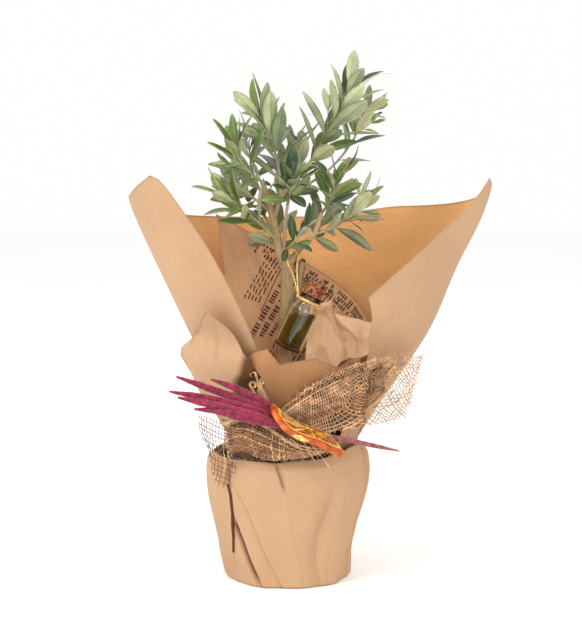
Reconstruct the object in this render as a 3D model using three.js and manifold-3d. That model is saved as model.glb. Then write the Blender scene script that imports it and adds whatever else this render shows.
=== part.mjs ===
// A young olive tree kept as a bonsai, in a nursery pot dressed as a gift: kraft paper round the pot,
// a tall paper collar, burlap with dyed grass spikes and a dried orange slice, and a small vial of oil
// that hangs on the trunk. Millimetres, +Z up, origin at the centre of the flat underside. -Y is the front.
import * as THREE from "three";
import { mergeVertices } from "three/addons/utils/BufferGeometryUtils.js";
import Module from "manifold-3d";

const wasm = await Module();
wasm.setup();

// Driving dimensions
const GAP = 0.3; // left between any two solids that meet
const PAPER = 0.8; // thickness of the kraft paper
const BURLAP = 1.6; // thickness of the burlap

const WRAP = {
  foot: 51.2, belly: 65.5, bellyZ: 86, lip: 61, height: 101, rise: 8, riseTurn: 112, sag: 2.4, sides: 44,
};
const POT = { foot: 43.5, top: 56.5, rim: 59.5, rimDepth: 10, base: 1.5, height: 96, wall: 1.5 };
const SOIL_TOP = 93.5;

const BUNCH = { foot: SOIL_TOP + 0.7, axisX: 8, lean: 0.055 }; // the papers' common cone axis
const COLLAR = {
  foot: 38, flare: 0.4985, back: 286, shoulder: 9, rightRise: 25, leftRise: 36, rightTip: 111, leftTip: 123.5,
};
// The collar's sides are bowed low down and drawn in at the tips.
const COLLAR_SIDES = { rightBelly: 8, rightPinch: 10, leftBelly: 2.8, leftPinch: 5 };
const PRINTED = { foot: 25, flare: 0.4, left: -50, right: 50, high: 290, low: 204 };
const CRUMPLED = { foot: 24, flare: 0.35, from: 4, to: 148, high: 227, low: 180, crease: 3 };
const LEFT_LOBE = {
  foot: 45.5, flare: 0.608, from: -90, to: -154, low: 184, high: 222, peak: -142, curl: 7, belly: 4.6,
};
const FRONT_LOBE = { foot: 46.7, flare: 0.43, from: 158, to: 210, high: 184 };
const BAND = { foot: 40.7, flare: 0.4985, from: -84, to: 78, height: 127 };
const RIGHT_FAN = { from: 192, to: 113, foot: 50.6, flare: 0.47, wave: 4.5 };
const LEFT_FAN = { from: 150, to: 238, radius: 63.2, puff: 11, wave: 2.2 };

const SPIKE = { radius: 3.2, sides: 5, steps: 5 };
const SPIKE_KNOT = [4, -72.2, 128];
const SPIKES = [
  { root: [-14, -76, 144], tip: [-84, -85, 172], lift: 0.5 },
  { root: [-14, -75.2, 148], tip: [-58, -84.8, 170], lift: 2 },
  { root: [-14, -81, 142], tip: [-89, -90, 161.5], lift: 2 },
  { root: [-14, -85, 139], tip: [-82, -97, 158], lift: 1 },
  { root: [-14, -79, 139], tip: [-70, -95, 149], lift: 1.5 },
  { root: [-14, -83, 136], tip: [-60, -99, 145], lift: 0.5 },
  { root: [-10, -81, 133], tip: [-42, -95, 138], lift: 0 },
  { root: [16, -71.4, 127.5], tip: [84, -82, 115], lift: 0 },
];
const FILLER_ROOT = [-9.6, -43.7, 104];
const FILLER_TIPS = [[-25, -76, 172], [-22, -73, 166], [-19, -71, 158], [-28.6, -75, 164], [-15, -69, 151]];
const SLICE = { centre: [14.5, -88.9, 131.5], along: 33, across: 16, thick: 4.6, drop: 34, tip: 8, bend: 2.6 };

const VIAL = {
  foot: [-1.4, -18.4, 186], tilt: 25.6, radius: 11.2, body: 33.5, neck: 9, mouth: 46, tie: 41, wall: 1.1,
};
const CORK = { flare: 0.9, inside: 4.5, length: 16.5 };
const OIL_LEVEL = 213;
const RAFFIA = 0.75; // radius of the raffia tie

const BARK_SIDES = 8;
const TRUNK = {
  points: [[-8, 0, SOIL_TOP + GAP], [-8, 0, 108], [-5.2, 0, 150], [-3.8, 0, 182], [-1.2, 0, 225], [-1, 0, 255]],
  radii: [9.6, 7.6, 6.9, 6.5, 5.5, 5],
};
const STUB = { points: [[2.5, 1.5, 206], [7.8, 2.4, 228], [11.4, 3, 255]], radii: [3, 3.1, 2.7] };
const LIMBS = {
  bough_left: {
    points: [[-2.5, 0, 249], [-6.8, 0, 261], [-10, 0, 275], [-12.4, 0, 288], [-16, 0, 301], [-21, 0, 318]],
    radii: [4.4, 4, 3.5, 3.1, 2.6, 2.3],
    on: ["trunk"],
  },
  bough_right: {
    points: [[0.5, -1, 251], [9.6, -2, 264.5], [21, -2, 276.5], [26.5, -3, 293]],
    radii: [2.9, 2.4, 2.1, 1.8],
    on: ["trunk", "bough_left"],
  },
  bough_middle: {
    points: [[-12.2, 0.5, 287], [-5, 3, 305.5], [1, 4.5, 313.5], [6.8, 5, 318]],
    radii: [2.2, 1.8, 1.6, 1.5],
    on: ["bough_left"],
  },
  bough_front: {
    points: [[-4, -2, 258], [-3.2, -6.5, 272], [-2.2, -8, 288], [-0.6, -9, 300]],
    radii: [1.9, 1.5, 1.35, 1.25],
    on: ["trunk", "bough_left"],
  },
};

// Each spray: its stem's root on a limb, its tip, how far the stem bows off the straight line,
// the pairs of leaves on it, the length of its largest leaves, the turn of its first pair, and, where
// it isn't LEAF.bare, the share of the stem below that pair.
const LEAF = { share: 0.31, thick: 0.9, off: 0.4, lowSpread: 58, highSpread: 24, tries: 3, bare: 0.22 };
const SPRAYS = {
  spray_left_outer: { root: [-20.6, -0.5, 317], tip: [-41, -20, 343], bow: [-4, -2, -1], pairs: 5, leaf: 37, turn: 60 },
  spray_left_top: { root: [-6, 2.6, 303.5], tip: [-22, 8, 368], bow: [4, 0, 2], pairs: 8, leaf: 40, turn: 30 },
  spray_left_low: { root: [-8.6, -0.5, 269.5], tip: [-49, -26, 306], bow: [0, -2, 2], pairs: 5, leaf: 33, turn: 70 },
  spray_left_back: { root: [-13.5, 0.5, 292.5], tip: [-45, 30, 313], bow: [-3, 0, 4], pairs: 5, leaf: 32, turn: 0 },
  spray_right_top: { root: [6.4, 5, 317.6], tip: [48, -9, 389], bow: [1, 0, -3], pairs: 9, leaf: 41, turn: 100 },
  spray_right_outer: { root: [-3, 3.7, 308.4], tip: [62, 18, 371], bow: [6, 0, -10], pairs: 6, leaf: 33, turn: 10, bare: 0.55 },
  spray_centre: { root: [1.6, 4.5, 314], tip: [11, 20, 344], bow: [3, 2, 0], pairs: 5, leaf: 33, turn: 60 },
  spray_right_low: { root: [26.2, -3, 292.4], tip: [36, -20, 316], bow: [3, 0, 0], pairs: 5, leaf: 29, turn: 35 },
  spray_right_side: { root: [20.4, -2, 276], tip: [55, 6, 298], bow: [2, 0, -4], pairs: 5, leaf: 34, turn: 85 },
  spray_front: { root: [-0.7, -9, 299.4], tip: [4, -30, 322], bow: [0, -3, 0], pairs: 5, leaf: 29, turn: 15 },
  spray_front_low: { root: [-3.6, -3, 262], tip: [12, -27, 281], bow: [0, -2, -2], pairs: 3, leaf: 24, turn: 70 },
  spray_back_left: { root: [-17, 0.5, 304], tip: [-33, 52, 351], bow: [-3, 6, -6], pairs: 6, leaf: 34, turn: 25 },
  spray_back_mid: { root: [-8.5, 1.8, 297], tip: [3, 60, 346], bow: [0, 8, -8], pairs: 7, leaf: 34, turn: 55 },
  spray_back_right: { root: [13, -2, 267.8], tip: [40, 52, 320], bow: [2, 8, -8], pairs: 6, leaf: 33, turn: 5 },
  spray_back_low: { root: [-5.4, 0.5, 262], tip: [-22, 48, 297], bow: [0, 6, -4], pairs: 5, leaf: 31, turn: 40 },
};

const COLOURS = {
  kraft: 0xd9b48c,
  kraftInside: 0xc98e50,
  burlap: 0xa98360,
  plastic: 0x3a2f28,
  soil: 0x3b2a1e,
  spike: 0xb04070,
  filler: 0xb08a64,
  orange: 0xe07a1c,
  glass: 0xdfe8e0,
  oil: 0x7d7410,
  cork: 0xa5683f,
  raffia: 0xd8b36a,
  bark: 0x9a8878,
  greenBark: 0x8a8f60,
  leaf: 0x7f9463,
};

// Small helpers
const radians = THREE.MathUtils.degToRad;
const mix = THREE.MathUtils.lerp;
const clamp = THREE.MathUtils.clamp;
const step = THREE.MathUtils.smoothstep;
const point = (p) => new THREE.Vector3(...p);
const hump = (x, centre, width) => Math.exp(-(((x - centre) / width) ** 2));

// A number from 0 to 1 that depends only on its three whole-number keys.
function chance(a, b, c) {
  let h = Math.imul(a + 1, 0x9e3779b1) ^ Math.imul(b + 1, 0x85ebca77) ^ Math.imul(c + 1, 0xc2b2ae3d);
  h = Math.imul(h ^ (h >>> 15), 0x2c1b3c6d);
  h = Math.imul(h ^ (h >>> 12), 0x297a2d39);
  return ((h ^ (h >>> 15)) >>> 0) / 4294967296;
}

function solidOf(geometry) {
  const bare = geometry.index ? geometry.toNonIndexed() : geometry.clone();
  bare.deleteAttribute("normal");
  bare.deleteAttribute("uv");
  const merged = mergeVertices(bare, 1e-4);
  const mesh = new wasm.Mesh({
    numProp: 3,
    vertProperties: new Float32Array(merged.attributes.position.array),
    triVerts: new Uint32Array(merged.index.array),
  });
  return new wasm.Manifold(mesh);
}

function geometryOf(solid) {
  const { vertProperties, triVerts } = solid.getMesh();
  const geometry = new THREE.BufferGeometry();
  geometry.setAttribute("position", new THREE.BufferAttribute(vertProperties, 3));
  geometry.setIndex(new THREE.BufferAttribute(triVerts, 1));
  geometry.computeVertexNormals();
  return geometry;
}

// The largest of a solid's separate bodies, without the scraps that a cut leaves.
function largest(solid) {
  return solid.decompose().reduce((a, b) => (a.volume() > b.volume() ? a : b));
}

function mapped(geometry, place) {
  const at = geometry.attributes.position;
  for (let i = 0; i < at.count; i++) {
    const p = place(at.getX(i), at.getY(i), at.getZ(i));
    at.setXYZ(i, p.x, p.y, p.z);
  }
  return geometry;
}

// A tapering tube along a smooth curve, closed by its two ends. grow fattens it all round.
function tube(points, radii, sides, steps, grow = 0) {
  const curve = new THREE.CatmullRomCurve3(points.map(point));
  const frames = curve.computeFrenetFrames(steps, false);
  const radiusAt = (t) => {
    const x = t * (radii.length - 1);
    const i = Math.min(Math.floor(x), radii.length - 2);
    return mix(radii[i], radii[i + 1], x - i);
  };
  const place = (x, y, z) => {
    const t = clamp(0.5 - y, 0, 1);
    const i = Math.round(t * steps);
    const middle = curve.getPointAt(t);
    const end = i === 0 ? -grow : i === steps ? grow : 0;
    const radius = radiusAt(curve.getUtoTmapping(t)) + grow;
    return middle
      .addScaledVector(frames.tangents[i], end)
      .addScaledVector(frames.normals[i], x * radius)
      .addScaledVector(frames.binormals[i], z * radius);
  };
  return solidOf(mapped(new THREE.CylinderGeometry(1, 1, 1, sides, steps), place));
}

// A thin closed sheet on a surface given by (u, v) from 0 to 1.
function sheet(surface, across, up, thickness) {
  const tiny = 1e-3;
  const place = (x, y, z) => {
    const u = x + 0.5;
    const v = y + 0.5;
    const alongU = surface(Math.min(u + tiny, 1), v).sub(surface(Math.max(u - tiny, 0), v));
    const alongV = surface(u, Math.min(v + tiny, 1)).sub(surface(u, Math.max(v - tiny, 0)));
    const normal = alongU.cross(alongV).normalize();
    return surface(u, v).addScaledVector(normal, z * thickness);
  };
  const solid = solidOf(mapped(new THREE.BoxGeometry(1, 1, 1, across, up, 1), place));
  if (solid.volume() > 0) return solid;
  return solidOf(mapped(new THREE.BoxGeometry(1, 1, 1, across, up, 1), (x, y, z) => place(x, y, -z)));
}

// A point on the bunch's cone. Turn 0 is the back, 90 the right and 180 the front.
function onCone(turn, radius, z) {
  const a = radians(turn);
  const axis = BUNCH.axisX + BUNCH.lean * (z - 100);
  return new THREE.Vector3(axis + radius * Math.sin(a), radius * Math.cos(a), z);
}

const coneRadius = (paper, z) => paper.foot + paper.flare * (z - BUNCH.foot);

// The pot, its soil and the paper round it
function wrapFold(turn, z) {
  const high = clamp(z / WRAP.bellyZ, 0, 1);
  let out = 0;
  for (let k = 0; k < 9; k++) {
    const middle = 40 * k + 22 * chance(k, 1, 5) + 16 * (0.5 - high) * (chance(k, 2, 5) - 0.3);
    const away = Math.abs(((((turn - middle) % 360) + 540) % 360) - 180);
    out += (0.9 + 0.9 * chance(k, 3, 5)) * Math.exp(-away / 7);
  }
  return out - 1.1;
}

function wrapSolid() {
  const { foot, belly, bellyZ, lip, height } = WRAP;
  const outer = [[0, 0], [foot, 0], [mix(foot, belly, 0.37), 0.36 * bellyZ]];
  outer.push([mix(foot, belly, 0.78), 0.72 * bellyZ], [belly, bellyZ], [belly - 0.6, height - 6], [lip, height]);
  const inner = outer.slice(1, -1).map(([r, z]) => [r - PAPER * 1.1, Math.max(z, PAPER)]);
  inner.push([lip - PAPER, height - PAPER]);
  const profile = [...outer, ...inner.reverse(), [0, PAPER]].map(([r, z]) => new THREE.Vector2(r, z));
  const lathe = new THREE.LatheGeometry(profile, WRAP.sides);
  const place = (x, y, z) => {
    const radius = Math.hypot(x, z);
    if (radius < 1) return new THREE.Vector3(0, 0, y);
    const turn = Math.round(THREE.MathUtils.radToDeg(Math.atan2(x, z)) * 100) / 100;
    const rise = WRAP.rise * hump(turn, WRAP.riseTurn, 46) * clamp((y - WRAP.bellyZ + 8) / 20, 0, 1);
    const grown = radius + wrapFold(turn, y) - 0.15 * rise;
    const sag = WRAP.sag * clamp((WRAP.bellyZ - y) / 40, 0, 1) * clamp(0.3 + y / 30, 0, 1);
    return new THREE.Vector3((grown * x) / radius - sag, (grown * z) / radius, y + rise);
  };
  return outward(mapped(lathe, place));
}

// A closed geometry as a solid, turned so that its faces point out.
function outward(geometry) {
  const solid = solidOf(geometry);
  if (solid.volume() > 0) return solid;
  const index = geometry.index.array;
  for (let i = 0; i < index.length; i += 3) [index[i + 1], index[i + 2]] = [index[i + 2], index[i + 1]];
  return solidOf(geometry);
}

function turned(profile, sides) {
  const points = profile.map(([r, z]) => new THREE.Vector2(r, z));
  return outward(new THREE.LatheGeometry(points, sides).rotateX(Math.PI / 2));
}

const POT_FOOT = PAPER + GAP;

function potSolid() {
  const { foot, top, rim, rimDepth, base, height, wall } = POT;
  return turned(
    [
      [0, POT_FOOT], [foot, POT_FOOT], [top - 1, height - rimDepth], [rim, height - rimDepth], [rim, height],
      [top - 0.2, height], [foot - wall + 0.6, POT_FOOT + base], [0, POT_FOOT + base],
    ],
    34,
  );
}

function soilSolid() {
  const { foot, top, base, height, wall } = POT;
  const bottom = POT_FOOT + base + GAP;
  const share = (SOIL_TOP - bottom) / (height - bottom);
  const low = foot - wall;
  return turned([[0, bottom], [low, bottom], [mix(low, top - 0.9, share), SOIL_TOP], [0, SOIL_TOP]], 34);
}

// The papers
function collarTop(turn) {
  const shoulder = COLLAR.shoulder * step(turn, 0, 36);
  const right = COLLAR.rightRise * clamp(turn / COLLAR.rightTip, 0, 1) ** 3;
  const left = COLLAR.leftRise * clamp(-turn / COLLAR.leftTip, 0, 1) ** 3;
  return COLLAR.back + shoulder + right + left;
}

// How far the collar's sides stand out of its cone.
function collarBow(turn, z) {
  const { rightBelly, rightPinch, leftBelly, leftPinch } = COLLAR_SIDES;
  const rightBow = rightBelly * hump(z, 200, 45) * hump(turn, 92, 32);
  const rightTip = rightPinch * step(turn, 30, 80) * clamp((z - 270) / 50, 0, 1) ** 2;
  const left = leftBelly * hump(z, 250, 60) - leftPinch * clamp((z - 290) / 30, 0, 1) ** 2;
  return rightBow - rightTip + left * step(-turn, 30, 80);
}

function collarSurface(u, v) {
  const down = 1 - v;
  const left = -(COLLAR.leftTip + 43 * Math.max(down, 0) ** 0.55);
  const rightZ = mix(BUNCH.foot, collarTop(COLLAR.rightTip), v);
  const turnedIn = 45 * clamp((320 - rightZ) / 88, 0, 1) ** 0.9 - 14 * clamp((232 - rightZ) / 42, 0, 1);
  const right = COLLAR.rightTip + turnedIn;
  const turn = mix(left, right, u);
  const z = mix(BUNCH.foot, collarTop(turn), v);
  const buckle = 9 * hump(turn, 148, 14) * hump(z, 192, 20);
  const ripple = 1.8 * v * Math.sin(radians(turn * 3.1 + 40));
  return onCone(turn, coneRadius(COLLAR, z) + collarBow(turn, z) - buckle + ripple, z);
}

function printedSurface(u, v) {
  const turn = mix(PRINTED.left - 18 * (1 - v), PRINTED.right, u);
  const share = clamp((turn - PRINTED.left) / (PRINTED.right - PRINTED.left), 0, 1);
  const top = mix(PRINTED.high, PRINTED.low, share);
  const z = mix(BUNCH.foot, top, v);
  const wave = 1.6 * v * Math.sin(radians(turn * 6 + 60));
  return onCone(turn, coneRadius(PRINTED, z) + wave, z);
}

const CREASES = [
  [1.3, 2.1, 0.2],
  [3.1, -1.7, 0.9],
  [-2.2, 3.3, 1.7],
];

// Sharp random creases, from -1 to 1, as in paper that was balled up.
function creased(u, v) {
  const fold = ([a, b, c]) => Math.abs(((((a * u + b * v + c) % 1) + 1) % 1) - 0.5) * 4 - 1;
  return CREASES.reduce((sum, crease) => sum + fold(crease), 0) / CREASES.length;
}

function crumpledSurface(u, v) {
  const turn = mix(CRUMPLED.from, CRUMPLED.to, u);
  const top = mix(CRUMPLED.low, CRUMPLED.high, hump(turn, 22, 52)) + 4 * creased(2 * u, 0.3);
  const z = mix(BUNCH.foot, top, v);
  const open = mix(0.55, 1, step(turn, 0, 95));
  const crease = CRUMPLED.crease * v * creased(2 * u, 1.4 * v);
  return onCone(turn, coneRadius(CRUMPLED, z) * open + crease, z);
}

function leftLobeSurface(u, v) {
  const { from, to, peak, low, high } = LEFT_LOBE;
  const turn = mix(from, to, u);
  const left = 36 * Math.max((turn - peak) / 38, 0) ** 0.9;
  const right = (high - low) * clamp((peak - turn) / (peak - to), 0, 1);
  const top = high - left - right;
  const z = mix(BUNCH.foot, top, v);
  const bow = LEFT_LOBE.belly * hump(z, 168, 22) * hump(turn, from, 18) - LEFT_LOBE.curl * hump(z, 203, 14);
  return onCone(turn, coneRadius(LEFT_LOBE, z) + bow + 1.5 * v * Math.sin(radians(turn * 5)), z);
}

function frontLobeSurface(u, v) {
  const left = mix(186, FRONT_LOBE.to, v);
  const turn = mix(FRONT_LOBE.from, left, u);
  const corner = 6 * step(turn, 193, 201) - 3.4 * clamp((turn - 201) / 9, 0, 1);
  const top = FRONT_LOBE.high + corner - 6 * hump(turn, 158, 8) - 2 * hump(turn, 191.5, 4);
  const z = mix(BUNCH.foot, top, v);
  return onCone(turn, coneRadius(FRONT_LOBE, z) + 2.5 * v * v, z);
}

// The burlap
function bandSurface(u, v) {
  const z = mix(BUNCH.foot, BAND.height + 4 * Math.sin(9 * u), v);
  return onCone(mix(BAND.from, BAND.to, u), coneRadius(BAND, z) + 0.7 * Math.sin(40 * u), z);
}

function rightFanSurface(u, v) {
  const turn = mix(RIGHT_FAN.from, RIGHT_FAN.to, u);
  const low = 116 + 17.5 * Math.sin((Math.PI / 2) * u);
  const high = 146 + 37 * u + 19 * Math.sin(Math.PI * clamp(u * 1.05, 0, 1));
  const z = mix(low, high, v);
  const upright = u * u * mix(19, 8, v);
  const swell = RIGHT_FAN.wave * Math.max(Math.sin(Math.PI * u), 0) ** 0.7;
  const wave = swell * Math.sin(2 * Math.PI * (1.9 * v + 0.5 * u));
  return onCone(turn, coneRadius(RIGHT_FAN, z) + upright + wave, z);
}

function leftFanSurface(u, v) {
  const turn = mix(LEFT_FAN.from, LEFT_FAN.to, u);
  const low = 105 + 5 * hump(u, 0, 0.2) - 27 * step(u, 0.76, 1);
  const high = 113 + 25 * step(u, 0.16, 0.66) - 6 * hump(u, 0.8, 0.1);
  const z = mix(low, high, v);
  const puff = LEFT_FAN.puff * Math.sin(Math.PI * clamp(0.12 + 0.8 * v, 0, 1)) * hump(u, 0.5, 0.34);
  const flare = (5 + 5 * step(u, 0.55, 1)) * v + 1.5 * step(u, 0.65, 0.9);
  const out = LEFT_FAN.radius + puff + flare + LEFT_FAN.wave * v * Math.sin(12 * u);
  const a = radians(turn);
  return new THREE.Vector3(out * Math.sin(a), out * Math.cos(a), z);
}

// The dyed spikes, fused where they are tied, and the dried slice
function spikesSolid() {
  const parts = SPIKES.map(({ root, tip, lift }, k) => {
    const size = k === SPIKES.length - 1 ? 0.6 : mix(0.88, 1.08, chance(k, 4, 4));
    const radii = [0.4, 0.5, 0.9, 1, 1, 0.85, 0.2].map((share) => SPIKE.radius * size * share);
    const middle = point(root).lerp(point(tip), 0.5).add(new THREE.Vector3(0, 0, lift));
    return tube([SPIKE_KNOT, root, middle.toArray(), tip], radii, SPIKE.sides, SPIKE.steps);
  });
  return wasm.Manifold.union(parts);
}

function fillerSolid() {
  const sprigs = FILLER_TIPS.map((tip, k) => {
    const middle = point(FILLER_ROOT).lerp(point(tip), 0.55).add(new THREE.Vector3(2 - (k % 3), -2, 1));
    return tube([FILLER_ROOT, middle.toArray(), tip], [1, 0.8, 1.1, 1.5, 0.5], 3, 3);
  });
  return wasm.Manifold.union(sprigs);
}

function sliceSolid(grow = 0) {
  const { centre, along, across, thick, drop, tip, bend } = SLICE;
  const disc = new THREE.CylinderGeometry(1, 1, 1, 26, 1);
  const place = (x, y, z) => {
    const bent = bend * (Math.sin(3.4 * x) - z * z);
    return new THREE.Vector3(x * (along + grow), z * (across + grow), y * (thick + 2 * grow) + bent);
  };
  const turn = new THREE.Matrix4().makeRotationFromEuler(new THREE.Euler(radians(tip), radians(drop), 0, "YXZ"));
  return outward(mapped(disc, place).applyMatrix4(turn).translate(...centre));
}

// The vial, its oil, its cork and the raffia
const vialPlace = new THREE.Matrix4()
  .makeRotationY(radians(VIAL.tilt))
  .setPosition(...VIAL.foot);

function vialProfile(inset) {
  const { radius, body, neck, mouth } = VIAL;
  const r = radius - inset;
  const n = neck - inset;
  return [[r - 1.4, inset], [r, 1.4 + inset], [r, body], [r - 0.6, body + 2], [n, body + 4.5], [n, mouth]];
}

function placed(profile, sides) {
  const points = profile.map(([r, z]) => new THREE.Vector2(r, z));
  return outward(new THREE.LatheGeometry(points, sides).rotateX(Math.PI / 2).applyMatrix4(vialPlace));
}

const vialSolid = () => placed([[0, 0], ...vialProfile(0), ...vialProfile(VIAL.wall).reverse(), [0, VIAL.wall]], 24);

function corkSolid() {
  const foot = VIAL.mouth - CORK.inside;
  const r = VIAL.neck - VIAL.wall - GAP;
  const head = foot + CORK.length;
  return placed([[0, foot], [r - 0.3, foot], [r, VIAL.mouth + 0.5], [r + CORK.flare, head], [0, head]], 20);
}

function oilSolid() {
  const inset = VIAL.wall + GAP;
  const full = placed([[0, inset], ...vialProfile(inset).slice(0, 3), [0, VIAL.body]], 20);
  const above = solidOf(new THREE.BoxGeometry(90, 90, 60).translate(VIAL.foot[0], VIAL.foot[1], OIL_LEVEL + 30));
  return full.subtract(above);
}

function raffiaSolid(limbs) {
  const reach = VIAL.neck + GAP + RAFFIA;
  const onNeck = (turn, out) => {
    const a = radians(turn);
    return new THREE.Vector3(-(reach + out) * Math.cos(a), -(reach + out) * Math.sin(a), VIAL.tie)
      .applyMatrix4(vialPlace)
      .toArray();
  };
  const ring = new THREE.TorusGeometry(reach, RAFFIA, 4, 16).translate(0, 0, VIAL.tie);
  const hoop = outward(ring.applyMatrix4(vialPlace));
  const knot = onNeck(24, 0);
  const strands = [
    [knot, [3.6, -16, 244], [-0.8, -8, 254], [0.4, -6, 259.5], [4.5, -2.2, 262.8]],
    [knot, [7, -17, 240], [6.9, -8.6, 252], [7.9, -5.4, 258.5], [4.5, -2.2, 262.8]],
  ].map((points) => tube(points, points.map(() => RAFFIA), 4, 8));
  const bow = tube([onNeck(18, 0.4), onNeck(40, 1), onNeck(66, 0.2)], [1, 1.4, 0.9], 5, 3);
  return largest(wasm.Manifold.union([hoop, bow, ...strands]).subtract(limbs));
}

// The tree
const barkSolid = (limb, grow) => tube(limb.points, limb.radii, BARK_SIDES, 2 * limb.points.length, grow);

function treeLimbs() {
  const trunk = (grow) => barkSolid(TRUNK, grow).add(barkSolid(STUB, grow));
  const fat = { trunk: trunk(GAP) };
  const made = { trunk: trunk(0) };
  for (const [name, limb] of Object.entries(LIMBS)) {
    fat[name] = barkSolid(limb, GAP);
    made[name] = largest(limb.on.reduce((solid, other) => solid.subtract(fat[other]), barkSolid(limb, 0)));
  }
  return { made, all: wasm.Manifold.union(Object.values(fat)) };
}

// A leaf from base along its direction: thin edges, a ridge on its upper side and a cut-off root that
// sinks into the stem. grow makes it larger all round.
function leafSolid({ base, along, normal, length }, grow = 0) {
  const width = new THREE.Vector3().crossVectors(normal, along);
  const half = (length * LEAF.share) / 2;
  const outline = [[0, 0.85], [0.35, 0.93 * half], [0.73, 0.9 * half], [1, 0]];
  const cone = new THREE.ConeGeometry(1, 1, 3, 3);
  const place = (x, y, z) => {
    const ring = Math.round((y + 0.5) * 3);
    const radius = Math.max(1 - (y + 0.5), 1e-9);
    const [share, reach] = outline[ring];
    const end = ring === 0 ? -grow : ring === 3 ? grow : 0;
    const high = clamp((z / radius + 0.5) / 1.5, 0, 1);
    return base
      .clone()
      .addScaledVector(along, share * length + end)
      .addScaledVector(width, (clamp(x / radius / 0.866, -1, 1) * (reach + grow)) * (ring === 3 ? 0 : 1))
      .addScaledVector(normal, ring === 3 ? 0 : high * (LEAF.thick + 2 * grow) - grow);
  };
  return outward(mapped(cone, place));
}

function stemCurve({ root, tip, bow }) {
  const middle = point(root).lerp(point(tip), 0.5).addScaledVector(point(bow), 2);
  return new THREE.QuadraticBezierCurve3(point(root), middle, point(tip));
}

// The leaves of one spray: pairs that cross the pair below, wide apart low down and closing at the tip.
function* leavesOf(spray, order) {
  const curve = stemCurve(spray);
  const forward = new THREE.Vector3(0.2, -1, 0.1).normalize();
  for (let pair = 0; pair <= spray.pairs; pair++) {
    const share = pair / spray.pairs;
    const at = mix(spray.bare ?? LEAF.bare, 1, share ** 0.9);
    const stem = curve.getTangentAt(at);
    const side = new THREE.Vector3().crossVectors(stem, forward).normalize();
    const front = new THREE.Vector3().crossVectors(stem, side);
    for (let twin = 0; twin < 2; twin++) {
      for (let attempt = 0; attempt < LEAF.tries; attempt++) {
        const key = 40 * pair + 10 * twin + attempt;
        const turn = radians(spray.turn + 90 * pair + 180 * twin + 50 * (chance(order, key, 1) - 0.5));
        const opening = mix(LEAF.lowSpread, LEAF.highSpread, share) + 26 * (chance(order, key, 2) - 0.5);
        const spread = radians(opening);
        const outward = side.clone().multiplyScalar(Math.cos(turn)).addScaledVector(front, Math.sin(turn));
        const along = stem.clone().multiplyScalar(Math.cos(spread)).addScaledVector(outward, Math.sin(spread));
        const normal = stem.clone().multiplyScalar(Math.sin(spread)).addScaledVector(outward, -Math.cos(spread));
        normal.applyAxisAngle(along, radians(60 * (chance(order, key, 3) - 0.5)));
        const full = mix(0.82, 1, Math.sin(Math.PI * clamp(share + 0.18, 0, 1)));
        const length = spray.leaf * full * mix(0.86, 1.1, chance(order, key, 4));
        const base = curve.getPointAt(at).addScaledVector(outward, LEAF.off);
        yield { pair, twin, base, along, normal, length };
      }
    }
  }
}

function sprays(limbs) {
  const names = Object.keys(SPRAYS);
  const stems = names.map((name) => {
    const points = stemCurve(SPRAYS[name]).getPoints(4).map((p) => p.toArray());
    const radii = [1.35, 1.2, 1.05, 0.95, 0.8];
    return { thin: tube(points, radii, 3, 4), fat: tube(points, radii, 3, 4, 0.8) };
  });
  const kept = names.map(() => []);
  names.forEach((name, order) => {
    const others = [limbs, ...stems.filter((_, i) => i !== order).map((stem) => stem.fat)];
    const placed = new Set();
    for (const leaf of leavesOf(SPRAYS[name], order)) {
      const twin = `${leaf.pair} ${leaf.twin}`;
      if (placed.has(twin)) continue;
      const fat = leafSolid(leaf, 0.5);
      const neighbours = kept.flatMap((leaves, i) => (i === order ? [] : leaves.map((other) => other.fat)));
      if ([...others, ...neighbours].some((other) => meets(fat, other))) continue;
      placed.add(twin);
      kept[order].push({ fat, thin: leafSolid(leaf) });
    }
  });
  return Object.fromEntries(
    names.map((name, order) => {
      const stem = stems[order].thin.subtract(limbs);
      const spray = largest(wasm.Manifold.union([stem, ...kept[order].map((leaf) => leaf.thin)]));
      return [name, spray];
    }),
  );
}

function meets(a, b) {
  const p = a.boundingBox();
  const q = b.boundingBox();
  if ([0, 1, 2].some((k) => p.max[k] < q.min[k] || q.max[k] < p.min[k])) return false;
  return a.intersect(b).volume() > 1e-6;
}

// The assembly
const bonsai = new THREE.Group();

function add(name, solid, colour, finish = {}) {
  const material = new THREE.MeshStandardMaterial({ color: colour, roughness: 0.85, metalness: 0, ...finish });
  const mesh = new THREE.Mesh(geometryOf(solid), material);
  mesh.name = name;
  bonsai.add(mesh);
}

add("wrap", wrapSolid(), COLOURS.kraft);
add("pot", potSolid(), COLOURS.plastic, { roughness: 0.6 });
add("soil", soilSolid(), COLOURS.soil, { roughness: 1 });
add("collar", sheet(collarSurface, 30, 6, PAPER), COLOURS.kraft);
add("printed_paper", sheet(printedSurface, 14, 5, PAPER), COLOURS.kraftInside);
add("crumpled_paper", sheet(crumpledSurface, 16, 7, PAPER), COLOURS.kraft);
add("left_lobe", sheet(leftLobeSurface, 12, 5, PAPER), COLOURS.kraft);
add("front_lobe", sheet(frontLobeSurface, 10, 5, PAPER), COLOURS.kraft);

const fatSlice = sliceSolid(GAP);
add("burlap_band", sheet(bandSurface, 22, 2, BURLAP), COLOURS.burlap);
add("burlap_right", largest(sheet(rightFanSurface, 14, 7, BURLAP).subtract(fatSlice)), COLOURS.burlap);
add("burlap_left", largest(sheet(leftFanSurface, 14, 5, BURLAP).subtract(fatSlice)), COLOURS.burlap);
add("spikes", spikesSolid().subtract(fatSlice), COLOURS.spike);
add("filler", fillerSolid(), COLOURS.filler);
add("orange_slice", sliceSolid(), COLOURS.orange, { roughness: 0.6 });

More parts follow.
